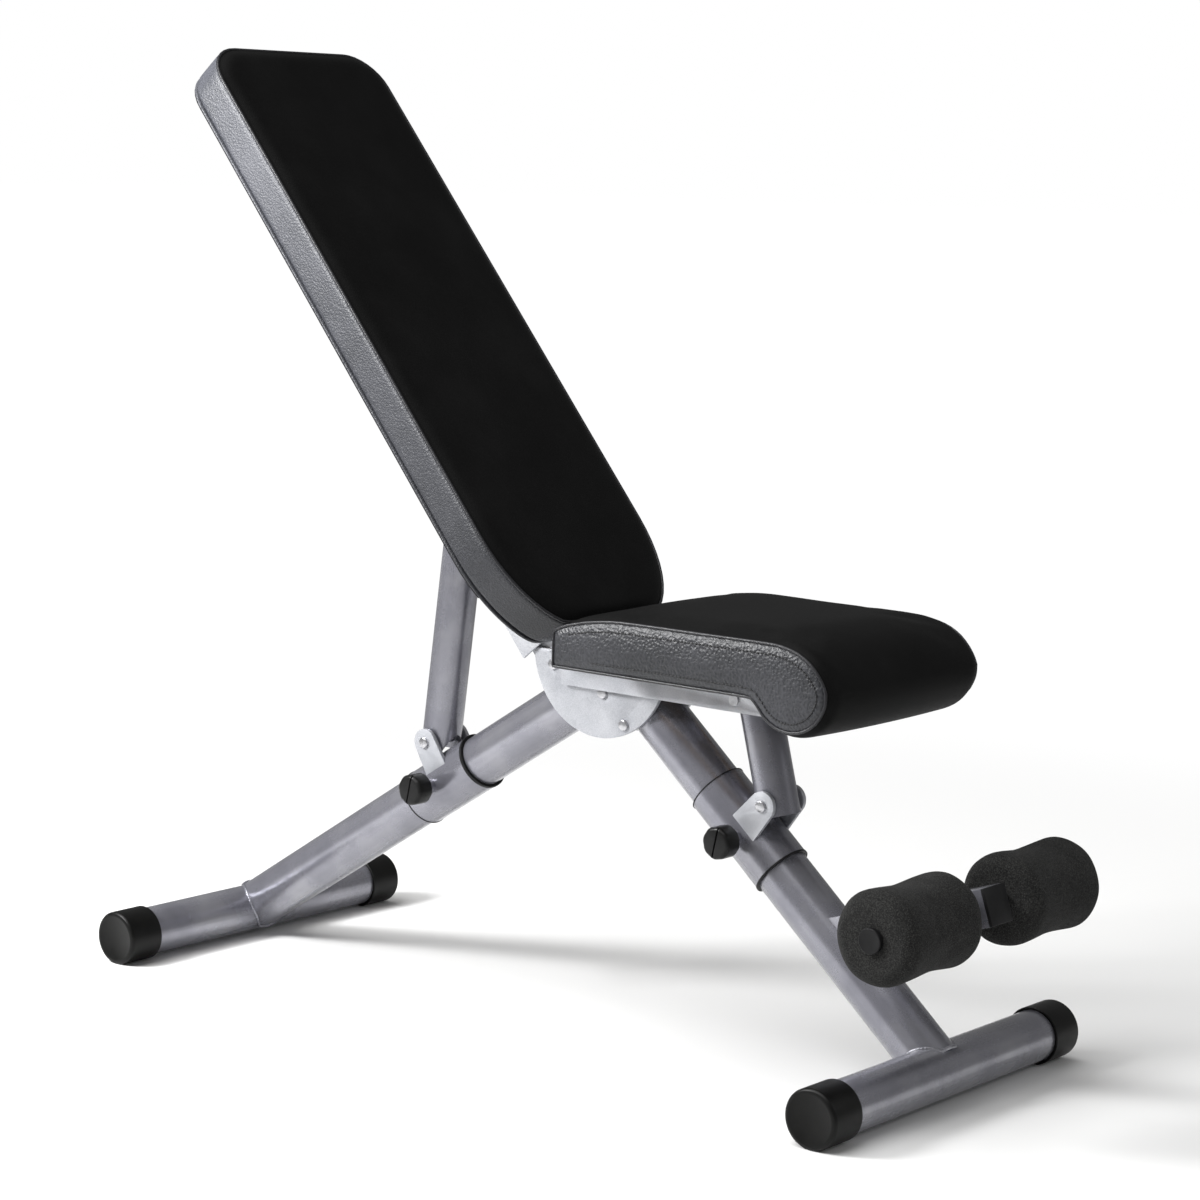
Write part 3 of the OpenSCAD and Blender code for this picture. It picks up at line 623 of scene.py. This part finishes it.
# ---------------------------------------------------------------------------------------------
# Hand knobs: moulded black plastic on a steel stud that presses a nylon pad against the leg.
# Eight rounded lobes, and one groove across the face where the two halves of the mould meet.
# ---------------------------------------------------------------------------------------------
knob_plastic = black_moulding("knob_plastic", (0.010, 0.010, 0.010), 0.30, 800.0)
knob_radius, knob_length, knob_back = 0.018, 0.022, 0.047
paint_cad(zinc, "rear_knob_stud", "front_knob_stud")
paint_cad(black_nylon, "rear_clamp_pad", "front_clamp_pad")
for end, foot_x, slope, way, along in (("rear", rear_x, rear_slope, 1, 0.384),
                                       ("front", front_x, front_slope, -1, 0.328)):
    knob_x = foot_x + way * along * math.cos(slope)
    knob_z = foot_z + along * math.sin(slope)
    knob = lying_round(knob_x, knob_z, -knob_back, -knob_back - knob_length, knob_radius * 1.06, 8,
                       math.radians(10))
    pick_edges(knob, lambda a, b: abs(a.y - b.y) > 0.01)
    bpy.ops.mesh.bevel(offset=0.0042, segments=5, profile=0.5)
    pick_edges(knob, lambda a, b: abs(a.y - b.y) < 1e-6 and abs(a.y + knob_back + knob_length) < 1e-5)
    bpy.ops.mesh.bevel(offset=0.0046, segments=6, profile=0.5)
    pick_edges(knob, lambda a, b: abs(a.y - b.y) < 1e-6 and abs(a.y + knob_back) < 1e-5)
    bpy.ops.mesh.bevel(offset=0.0022, segments=3, profile=0.5)
    bpy.ops.object.mode_set(mode="OBJECT")
    bpy.ops.mesh.primitive_cube_add(size=1, location=(knob_x, -knob_back - knob_length, knob_z),
                                    rotation=(0, math.radians(12), 0), scale=(0.0020, 0.0072, 0.06))
    cutter = bpy.context.object
    groove = knob.modifiers.new("groove", "BOOLEAN")
    groove.object = cutter
    groove.operation = "DIFFERENCE"
    pick(knob)
    bpy.ops.object.modifier_apply(modifier=groove.name)
    bpy.data.objects.remove(cutter)
    soften = knob.modifiers.new("soften", "BEVEL")
    soften.width = 0.0004
    soften.segments = 2
    soften.limit_method = "ANGLE"
    soften.angle_limit = math.radians(50)
    bpy.ops.object.modifier_apply(modifier=soften.name)
    knob = settle(knob, end + "_knob_grip_finished", knob_plastic, 40)
    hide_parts(end + "_knob_grip")
    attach(knob, end + "_knob")

# ---------------------------------------------------------------------------------------------
# Struts: round steel tubes in the same silver paint, notched at the foot to clear the sleeve.
# The rear one props the backrest, and the front one props the seat.
# ---------------------------------------------------------------------------------------------
rear_strut_paint = silver_paint("silver_paint_rear_strut", (0, math.radians(90 - 7.1), 0))
front_strut_paint = silver_paint("silver_paint_front_strut", (0, math.radians(90 + 14.9), 0))
paint_cad(rear_strut_paint, "rear_strut_tube")
paint_cad(front_strut_paint, "front_strut_tube")
paint_cad(zinc, "rear_strut_top_pin")

# ---------------------------------------------------------------------------------------------
# Backrest frame: a folded channel of pale silver sheet up the middle of the pad, two hinge
# plates on the pivot bolt, and four tabs with screws that hold the plywood board.
# ---------------------------------------------------------------------------------------------
for cad_name, width in (("back_channel", 0.0015), ("back_hinge_plates", 0.0008), ("back_pad_tabs", 0.0008)):
    piece = eased(cad_name, width, pale_paint)
    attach(piece, "backrest")
paint_cad(rear_leg_paint, "back_hinge_bush")
paint_cad(zinc, "back_pad_screws", "seat_pad_screws")

plywood, nodes, links, skin = blank_material("plywood")
plain = turned(nodes, links)
grain = noise(nodes, links, turned(nodes, links, (0, math.radians(50.2), 0), (6, 110, 110)), 1.0, 4.0, 0.6)
fleck = noise(nodes, links, plain, 900.0, 2.0)
mixed = added(nodes, links, grain, fleck, 0.25)
links.new(ramp(nodes, links, mixed, [(0.30, (0.135, 0.085, 0.045)), (0.50, (0.215, 0.145, 0.082)),
                                     (0.70, (0.290, 0.205, 0.120))]), skin.inputs["Base Color"])
links.new(between(nodes, links, grain, 0.55, 0.72), skin.inputs["Roughness"])
bumped(nodes, links, skin, mixed, 0.2, 0.0005)
paint_cad(plywood, "back_board", "seat_board")

# ---------------------------------------------------------------------------------------------
# Backrest pad: thick foam on the plywood board under black leatherette, with a smooth crowned front
# panel, a pebbled side band and a welt cord sewn in between them. Behind the band the cover is drawn
# into a groove, and its edge is turned in over the board and stapled.
# ---------------------------------------------------------------------------------------------


def leatherette(name, tones, smooth, gloss, pebble, depth, painted_sheen=None):
    """Black coated cloth. Pebble is the size of its grain, and painted_sheen is a low and a high place with
    the share of the colour at each: a painted sheen that lightens the colour towards the top."""
    material, nodes, links, skin = blank_material(name)
    plain = turned(nodes, links)
    wander = nodes.new("ShaderNodeTexNoise")
    wander.inputs["Scale"].default_value = 0.45 / pebble
    wander.inputs["Detail"].default_value = 2.0
    links.new(plain, wander.inputs["Vector"])
    bend = nodes.new("ShaderNodeVectorMath")
    bend.operation = "MULTIPLY_ADD"
    bend.inputs[1].default_value = (pebble * 0.9,) * 3
    links.new(wander.outputs["Color"], bend.inputs[0])
    links.new(plain, bend.inputs[2])
    grain = nodes.new("ShaderNodeTexVoronoi")
    grain.feature = "SMOOTH_F1"
    grain.inputs["Scale"].default_value = 1.0 / pebble
    grain.inputs["Smoothness"].default_value = 0.35
    links.new(bend.outputs[0], grain.inputs["Vector"])
    hide = grain.outputs["Distance"]
    fine = noise(nodes, links, plain, 2.6 / pebble, 2.0)
    clouds = noise(nodes, links, plain, 9.0, 4.0, 0.6)
    colour = ramp(nodes, links, added(nodes, links, clouds, hide, 0.5),
                  [(0.25, tones[0]), (0.5, tones[1]), (0.8, tones[2])])
    # Painted sheen: the colour is scaled up with height, so the cloth is lighter towards the top, standing
    # in for the light it catches there.
    if painted_sheen:
        apart = nodes.new("ShaderNodeSeparateXYZ")
        links.new(plain, apart.inputs["Vector"])
        lighter = nodes.new("ShaderNodeMapRange")
        lighter.inputs["From Min"].default_value = painted_sheen[0]
        lighter.inputs["From Max"].default_value = painted_sheen[1]
        lighter.inputs["To Min"].default_value = painted_sheen[2]
        lighter.inputs["To Max"].default_value = painted_sheen[3]
        links.new(apart.outputs["Z"], lighter.inputs["Value"])
        toned = nodes.new("ShaderNodeVectorMath")
        toned.operation = "SCALE"
        links.new(colour, toned.inputs[0])
        links.new(lighter.outputs["Result"], toned.inputs["Scale"])
        colour = toned.outputs[0]
    links.new(colour, skin.inputs["Base Color"])
    links.new(between(nodes, links, added(nodes, links, clouds, hide, 0.4), smooth - 0.07, smooth + 0.09),
              skin.inputs["Roughness"])
    skin.inputs["Specular IOR Level"].default_value = gloss
    bumped(nodes, links, skin, added(nodes, links, hide, fine, -0.35), depth, pebble * 0.35)
    return material


panel_hide = leatherette("leatherette_panel", [(0.0034,) * 3, (0.0056,) * 3, (0.0095,) * 3],
                         0.57, 0.07, 0.0011, 0.30)
# The band's colour is lighter than the panel's, and it grows from 0.8 times at 0.45 m high to 3 times at 1.0
# m: painted sheen for the light on the upright side and the upper backrest.
band_hide = leatherette("leatherette_band",
                        [(0.016, 0.017, 0.020), (0.025, 0.026, 0.031), (0.038, 0.039, 0.045)],
                        0.44, 0.55, 0.0021, 0.5, painted_sheen=(0.45, 1.0, 0.8, 3.0))

pad_low, pad_high, pad_half = -0.001, 0.819, 0.140
low_long, low_wide, top_round = 0.130, 0.090, 0.050
seam_z, rear_z, heel_x, heel_z, toe_z = 0.0790, 0.0297, 0.0135, 0.082, 0.0725
to_back = (Matrix.Translation((pivot_x, 0, pivot_z)) @ Matrix.Rotation(math.pi, 4, "Z")
           @ Matrix.Rotation(-math.radians(50.2), 4, "Y"))


def pad_rows(inset):
    """Stations up the back with the pad's half width at each, drawn in by inset."""
    rows = []
    for i in range(13):
        a = math.radians(90 - 7.5 * i)
        rows.append((pad_low + low_long - (low_long - inset) * math.sin(a),
                     pad_half - low_wide + (low_wide - inset) * math.cos(a)))
    start, stop = pad_low + low_long, pad_high - top_round
    rows += [(start + (stop - start) * i / 62, pad_half - inset) for i in range(1, 62)]
    for i in range(9):
        a = math.radians(11.25 * i)
        rows.append((stop + (top_round - inset) * math.sin(a),
                     pad_half - top_round + (top_round - inset) * math.cos(a)))
    return rows


edge_steps = [0.0, 0.018, 0.045, 0.08, 0.125, 0.18, 0.25]
across = sorted([-1 + s for s in edge_steps] + [1 - s for s in edge_steps]
                + [-0.75 + 1.5 * i / 18 for i in range(1, 18)])


def pad_sheet(inset):
    return [[(x, half * v) for v in across] for x, half in pad_rows(inset)]


def rim_order(sheet):
    """Row and column of each point round the rim of a sheet."""
    rows, columns = len(sheet), len(sheet[0])
    return ([(0, c) for c in range(columns)] + [(r, columns - 1) for r in range(1, rows)]
            + [(rows - 1, c) for c in range(columns - 2, -1, -1)] + [(r, 0) for r in range(rows - 2, 0, -1)])


def heel_shift(x, z):
    """How far a point moves up the back, so that the lower end slants away at the rear and at the
    front, where it must pass the seat when the back is upright."""
    slant = max(heel_x + (pad_low - heel_x) * (z - rear_z) / (heel_z - rear_z), pad_low)
    slant = max(slant, pad_low + 1.3 * (z - toe_z))
    blend = max(0.004 - abs(x - slant), 0.0) ** 2 / 0.016
    return max(x, slant) + blend - x


def shoulder(distance, reach):
    return 1 - (1 - min(distance / reach, 1.0)) ** 2


def from_outline(outline, x, y):
    """Distance from a point to a closed outline."""
    a, b = outline, np.roll(outline, -1, axis=0)
    d = b - a
    t = np.clip(((np.array([x, y]) - a) * d).sum(1) / (d * d).sum(1), 0, 1)
    return float(np.hypot(*(a + d * t[:, None] - np.array([x, y])).T).min())


crown, crown_reach, seam_inset = 0.0080, 0.020, 0.0026
spots, faces, slots = [], [], []
front = pad_sheet(seam_inset)
rows, columns = len(front), len(front[0])
rim = rim_order(front)
back_outline = np.array([pad_sheet(0)[r][c] for r, c in rim])
front_ids = [[0] * columns for _ in range(rows)]
for r in range(rows):
    for c in range(columns):
        x, y = front[r][c]
        lift = crown * shoulder(max(from_outline(back_outline, x, y) - seam_inset, 0.0), crown_reach)
        front_ids[r][c] = len(spots)
        spots.append((x + heel_shift(x, seam_z + lift), y, seam_z + lift))
ring = [front_ids[r][c] for r, c in rim]
band = [(0, z) for z in (0.0745, 0.0690, 0.0630, 0.0570, 0.0510, 0.0450, 0.0395)]
groove_line = [(0.0004, 0.0362), (0.0042, 0.0352), (0.0046, 0.0344), (0.0008, 0.0334)]
rear_inset = 0.0016
for inset, z in [(0.0007, 0.0765)] + band + groove_line + [(0.0004, 0.0314), (rear_inset, rear_z)]:
    sheet = pad_sheet(inset)
    new_ring = []
    for r, c in rim:
        x, y = sheet[r][c]
        new_ring.append(len(spots))
        spots.append((x + heel_shift(x, z), y, z))
    for i in range(len(ring)):
        j = (i + 1) % len(ring)
        faces.append((ring[i], ring[j], new_ring[j], new_ring[i]))
        slots.append(1)
    ring = new_ring
rear = pad_sheet(rear_inset)
rear_ids = [[0] * columns for _ in range(rows)]
for (r, c), i in zip(rim, ring):
    rear_ids[r][c] = i
for r in range(1, rows - 1):
    for c in range(1, columns - 1):
        x, y = rear[r][c]
        rear_ids[r][c] = len(spots)
        spots.append((x + heel_shift(x, rear_z), y, rear_z))
for ids, slot_number in ((front_ids, 0), (rear_ids, 1)):
    for r in range(rows - 1):
        for c in range(columns - 1):
            faces.append((ids[r][c], ids[r][c + 1], ids[r + 1][c + 1], ids[r + 1][c]))
            slots.append(slot_number)


def sewn_cover(name, spots, faces, slots, materials):
    mesh = bpy.data.meshes.new(name)
    mesh.from_pydata(spots, [], faces)
    for material in materials:
        mesh.materials.append(material)
    mesh.polygons.foreach_set("material_index", slots)
    piece = bpy.data.objects.new(name, mesh)
    scene.collection.objects.link(piece)
    edit_piece(piece)
    bpy.ops.mesh.select_all(action="SELECT")
    bpy.ops.mesh.normals_make_consistent(inside=False)
    bpy.ops.object.mode_set(mode="OBJECT")
    return piece


def smoothed(piece):
    piece.data.polygons.foreach_set("use_smooth", [True] * len(piece.data.polygons))
    finer = piece.modifiers.new("finer", "SUBSURF")
    finer.levels = finer.render_levels = 1
    pick(piece)
    bpy.ops.object.modifier_apply(modifier=finer.name)


def board_pocket(piece, board):
    """The board sits in a pocket behind the foam."""
    source = frame["nodes"][board]
    cutter = bpy.data.objects.new("cutter", source.data.copy())
    scene.collection.objects.link(cutter)
    edit_piece(cutter)
    bpy.ops.mesh.select_all(action="SELECT")
    bpy.ops.mesh.customdata_custom_splitnormals_clear()
    bpy.ops.mesh.remove_doubles(threshold=1e-6)
    bpy.ops.mesh.normals_make_consistent(inside=False)
    bpy.ops.transform.shrink_fatten(value=0.0003)
    bpy.ops.object.mode_set(mode="OBJECT")
    pocket = piece.modifiers.new("pocket", "BOOLEAN")
    pocket.object = cutter
    pocket.operation = "DIFFERENCE"
    pick(piece)
    bpy.ops.object.modifier_apply(modifier=pocket.name)
    bpy.data.objects.remove(cutter)


back_pad = sewn_cover("back_pad_cover", spots, faces, slots, [panel_hide, band_hide])
smoothed(back_pad)
back_pad.data.transform(to_back)
board_pocket(back_pad, "back_board")
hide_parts("back_pad")
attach(back_pad, "backrest")
welt_hide = leatherette("leatherette_welt",
                        [(0.008, 0.008, 0.010), (0.013, 0.013, 0.016), (0.020, 0.020, 0.024)],
                        0.40, 0.5, 0.0018, 0.3)

fold_out, fold_in, fold_from, staple_in, staple_gap = 0.0020, 0.0220, 0.075, 0.0150, 0.034
outer, inner, staple_line = pad_sheet(fold_out), pad_sheet(fold_in), pad_sheet(staple_in)
first_row = next(r for r in range(rows) if outer[r][0][0] > fold_from)
band_path = ([(r, columns - 1) for r in range(first_row, rows)]
             + [(rows - 1, c) for c in range(columns - 2, -1, -1)]
             + [(r, 0) for r in range(rows - 2, first_row - 1, -1)])
spots, faces = [], []
for r, c in band_path:
    for sheet, thick in ((outer, 0), (inner, 0), (inner, 0.0005), (outer, 0.0009)):
        spots.append((*sheet[r][c], rear_z - thick))
for i in range(len(band_path) - 1):
    for j in range(4):
        faces.append((4 * i + j, 4 * i + (j + 1) % 4, 4 * i + 4 + (j + 1) % 4, 4 * i + 4 + j))
faces += [(0, 1, 2, 3), tuple(len(spots) - 4 + j for j in range(4))]
turned_in = sewn_cover("back_pad_turned_edge", spots, faces, [0] * len(faces), [panel_hide])
turned_in.data.transform(to_back)
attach(turned_in, "backrest")

staples, since = [], 0.0
staple_path = [Vector((*staple_line[r][c], rear_z - 0.0010)) for r, c in band_path]
for before, here, after in zip(staple_path, staple_path[1:], staple_path[2:]):
    since += (here - before).length
    if since < staple_gap:
        continue
    since = 0.0
    lie = after - before
    bpy.ops.mesh.primitive_cube_add(size=1, location=here, scale=(0.0105, 0.0010, 0.0008),
                                    rotation=(0, 0, math.atan2(lie.y, lie.x) + 0.12))
    bpy.ops.object.transform_apply(location=True, rotation=True, scale=True)
    staples.append(bpy.context.object)
staples = joined("back_pad_staples", staples)
edit_piece(staples)
bpy.ops.mesh.select_all(action="SELECT")
bpy.ops.mesh.bevel(offset=0.00025, segments=2)
staples = settle(staples, "back_pad_staples", zinc, 40)
staples.data.transform(to_back)
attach(staples, "backrest")

welt = pad_sheet(0.0022)
route = [to_back @ Vector((welt[r][c][0] + heel_shift(welt[r][c][0], seam_z + 0.0012), welt[r][c][1],
                           seam_z - 0.0002)) for r, c in rim]
back_welt = bead("back_pad_welt", route, 0.0019, welt_hide, ripple=0.0)
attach(back_welt, "backrest")

# ---------------------------------------------------------------------------------------------
# Seat frame: two angle rails of pale silver sheet under the board, a square cross bar welded
# between them, and the bolt that carries the front strut's upper end.
# ---------------------------------------------------------------------------------------------
for cad_name in ("seat_rail_left", "seat_rail_right"):
    piece = eased(cad_name, 0.0007, pale_paint)
    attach(piece, "seat")
bar_paint = silver_paint("silver_paint_cross_bar", (0, 0, math.radians(90)))
paint_cad(bar_paint, "seat_cross_bar")
paint_cad(zinc, "front_strut_bolt")

# ---------------------------------------------------------------------------------------------
# Seat pad: the same foam, board and cover, with a smooth top panel that runs over the seat and
# down round a fat roll in front. The pebbled side panels are sewn in with a welt cord, and have
# one row of stitches just inside it.
# ---------------------------------------------------------------------------------------------
shift = -0.02565
top_line = [(0.0892, 0.4595), (0.0912, 0.4625), (0.1035, 0.4680), (0.1240, 0.4732), (0.1440, 0.4768),
            (0.1760, 0.4800), (0.2200, 0.4806), (0.2710, 0.4806), (0.3300, 0.4808), (0.3720, 0.4808),
            (0.3900, 0.4798), (0.4100, 0.4750), (0.4260, 0.4665), (0.4370, 0.4560), (0.4440, 0.4460),
            (0.4474, 0.4380)]
low_line = [(0.0888, 0.4240), (0.1500, 0.4240), (0.2200, 0.4240), (0.2900, 0.4240), (0.3450, 0.4240),
            (0.3560, 0.4225), (0.3640, 0.4145), (0.3720, 0.4055), (0.3820, 0.3985), (0.3935, 0.3946),
            (0.4050, 0.3936), (0.4170, 0.3954), (0.4300, 0.4020), (0.4400, 0.4120), (0.4460, 0.4240),
            (0.4474, 0.4320)]


def drawn(points, shares):
    """Points along a smooth line through the given ones, at these shares of its length."""
    given = np.array(points)
    fine = []
    for i in range(len(given) - 1):
        p0, p1 = given[max(i - 1, 0)], given[i]
        p2, p3 = given[i + 1], given[min(i + 2, len(given) - 1)]
        for t in np.linspace(0, 1, 12, endpoint=False):
            fine.append(0.5 * (2 * p1 + (p2 - p0) * t + (2 * p0 - 5 * p1 + 4 * p2 - p3) * t ** 2
                               + (3 * p1 - p0 - 3 * p2 + p3) * t ** 3))
    fine.append(given[-1])
    fine = np.array(fine)
    run = np.concatenate([[0], np.cumsum(np.hypot(*np.diff(fine, axis=0).T))])
    return [(float(np.interp(s * run[-1], run, fine[:, 0])), float(np.interp(s * run[-1], run, fine[:, 1])))
            for s in shares]


def puffed(piece, held, reach):
    """Foam pushes the cover out between its seams: cloth under pressure, held where it is sewn or
    stapled, and no point moves further than reach."""
    cut = np.array([v.co for v in piece.data.vertices])
    group = piece.vertex_groups.new(name="held")
    group.add(sorted(set(held)), 1.0, "REPLACE")
    cloth = piece.modifiers.new("cover", "CLOTH")
    cover = cloth.settings
    cover.quality = 6
    cover.mass = 0.35
    cover.tension_stiffness = cover.compression_stiffness = 25
    cover.shear_stiffness = 12
    cover.bending_stiffness = 1.5
    cover.use_pressure = True
    cover.uniform_pressure_force = 4
    cover.vertex_group_mass = "held"
    cover.effector_weights.gravity = 0
    cloth.point_cache.frame_start = 1
    cloth.point_cache.frame_end = 20
    for step in range(1, 21):
        scene.frame_set(step)
    pick(piece)
    bpy.ops.object.modifier_apply(modifier=cloth.name)
    scene.frame_set(1)
    moved = np.array([v.co for v in piece.data.vertices]) - cut
    far = np.linalg.norm(moved, axis=1)
    moved *= (reach * np.tanh(far / reach) / np.maximum(far, 1e-9))[:, None]
    piece.data.vertices.foreach_set("co", (cut + moved).ravel())
    piece.vertex_groups.clear()
    piece.data.update()


shares = ([0.0, 0.007, 0.018, 0.033] + [0.052 + 0.896 * i / 44 for i in range(45)]
          + [0.967, 0.982, 0.993, 1.0])
depths = [0.0, 0.05, 0.13, 0.26, 0.42, 0.58, 0.74, 0.87, 0.95, 1.0]
tops, lows = drawn(top_line, shares), drawn(low_line, shares)
side_sheet = [[(tops[i][0] + (lows[i][0] - tops[i][0]) * t, tops[i][1] + (lows[i][1] - tops[i][1]) * t)
               for t in depths] for i in range(len(shares))]
rim = rim_order(side_sheet)
seat_outline = np.array([side_sheet[r][c] for r, c in rim])
seat_half, seam_in = 0.140, 0.0024
near_seam = (0.0025, 0.006, 0.0105, 0.016, 0.023, 0.032, 0.043)
widths = sorted([s * (seat_half - seam_in - d) for s in (-1, 1) for d in near_seam]
                + [-0.0945 + 0.189 * i / 18 for i in range(1, 18)] + [-0.0945, 0.0945])
spots, faces, slots, held = [], [], [], []
side_ids = {}
for side in (-1, 1):
    ids = []
    for i, line in enumerate(side_sheet):
        ids.append([])
        for j, (x, z) in enumerate(line):
            edge = i in (0, len(side_sheet) - 1) or j in (0, len(depths) - 1)
            out = 0.0 if edge else 0.0034 * shoulder(from_outline(seat_outline, x, z), 0.006)
            ids[-1].append(len(spots))
            spots.append((x + shift, side * (seat_half - seam_in + out), z))
    side_ids[side] = ids
    held += [ids[r][c] for r, c in rim]
    for i in range(len(side_sheet) - 1):
        for j in range(len(depths) - 1):
            faces.append((ids[i][j], ids[i][j + 1], ids[i + 1][j + 1], ids[i + 1][j]))
            slots.append(1)
along = np.roll(seat_outline, -1, axis=0) - np.roll(seat_outline, 1, axis=0)
normals = np.stack([along[:, 1], -along[:, 0]], 1) / np.hypot(*along.T)[:, None]
if ((seat_outline - seat_outline.mean(0)) * normals).sum() < 0:
    normals = -normals
board_top, roll_from = 0.4245, 0.350
strips = [[side_ids[-1][r][c] for r, c in rim]]
for y in widths:
    strip = []
    full = 0.0070 * shoulder(seat_half - seam_in - abs(y), 0.015) + 0.0025 * (1 - (y / seat_half) ** 2)
    for k, (x, z) in enumerate(seat_outline):
        under = z < board_top and x < roll_from
        rise = 0.0 if under else min(1.0, 0.35 + max(x - 0.088, 0) / 0.05) * full
        strip.append(len(spots))
        if under:
            held.append(len(spots))
        spots.append((x + shift + normals[k][0] * rise, y, z + normals[k][1] * rise))
    strips.append(strip)
strips.append([side_ids[1][r][c] for r, c in rim])
for first, second in zip(strips, strips[1:]):
    for k in range(len(seat_outline)):
        n = (k + 1) % len(seat_outline)
        faces.append((first[k], first[n], second[n], second[k]))
        slots.append(0)
# The side panels' colour is lighter than the top panel's: painted sheen for the light that falls on these
# upright sides.
side_hide = leatherette("leatherette_side",
                        [(0.011, 0.012, 0.0145), (0.021, 0.022, 0.0265), (0.036, 0.037, 0.044)],
                        0.42, 0.55, 0.0034, 0.6)
seat_pad = sewn_cover("seat_pad_cover", spots, faces, slots, [panel_hide, side_hide])
held += [i for i, spot in enumerate(spots) if spot[0] < 0.096 + shift]
puffed(seat_pad, held, 0.0030)
smoothed(seat_pad)
board_pocket(seat_pad, "seat_board")
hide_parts("seat_pad")
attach(seat_pad, "seat")

for side, hand in ((-1, "right"), (1, "left")):
    route = [Vector((x + shift, side * (seat_half - 0.0019), z)) + Vector((n[0], 0, n[1])) * 0.0005
             for (x, z), n in zip(seat_outline, normals)]
    seat_welt = bead("seat_pad_welt_" + hand, route, 0.0017, welt_hide, ripple=0.0)
    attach(seat_welt, "seat")

thread, nodes, links, skin = blank_material("black_thread")
plain = turned(nodes, links)
fibre = noise(nodes, links, plain, 3000.0, 2.0)
links.new(ramp(nodes, links, fibre, [(0.35, (0.006, 0.006, 0.007)), (0.7, (0.022, 0.022, 0.024))]),
          skin.inputs["Base Color"])
links.new(between(nodes, links, fibre, 0.5, 0.75), skin.inputs["Roughness"])
bumped(nodes, links, skin, fibre, 0.3, 0.0002)
edge_line = tops + [spot for spot in lows[::-1][1:] if spot[1] > 0.4 or spot[0] > 0.375]
edge_line = np.array(drawn(edge_line, np.linspace(0.03, 0.93, 620)))
heading = np.gradient(edge_line, axis=0)
heading /= np.hypot(*heading.T)[:, None]
inner = edge_line + 0.0080 * np.stack([heading[:, 1], -heading[:, 0]], 1)
for side, hand in ((-1, "right"), (1, "left")):
    sewn = []
    for x, z in inner:
        _, spot, normal, _ = seat_pad.closest_point_on_mesh(Vector((x + shift, side * 0.15, z)))
        sewn.append(spot + normal * 0.0001)
    stitches = bead("seat_pad_stitches_" + hand, sewn, 0.0007, thread,
                    closed=False, ripple=0.75, pitch=0.0048)
    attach(stitches, "seat")
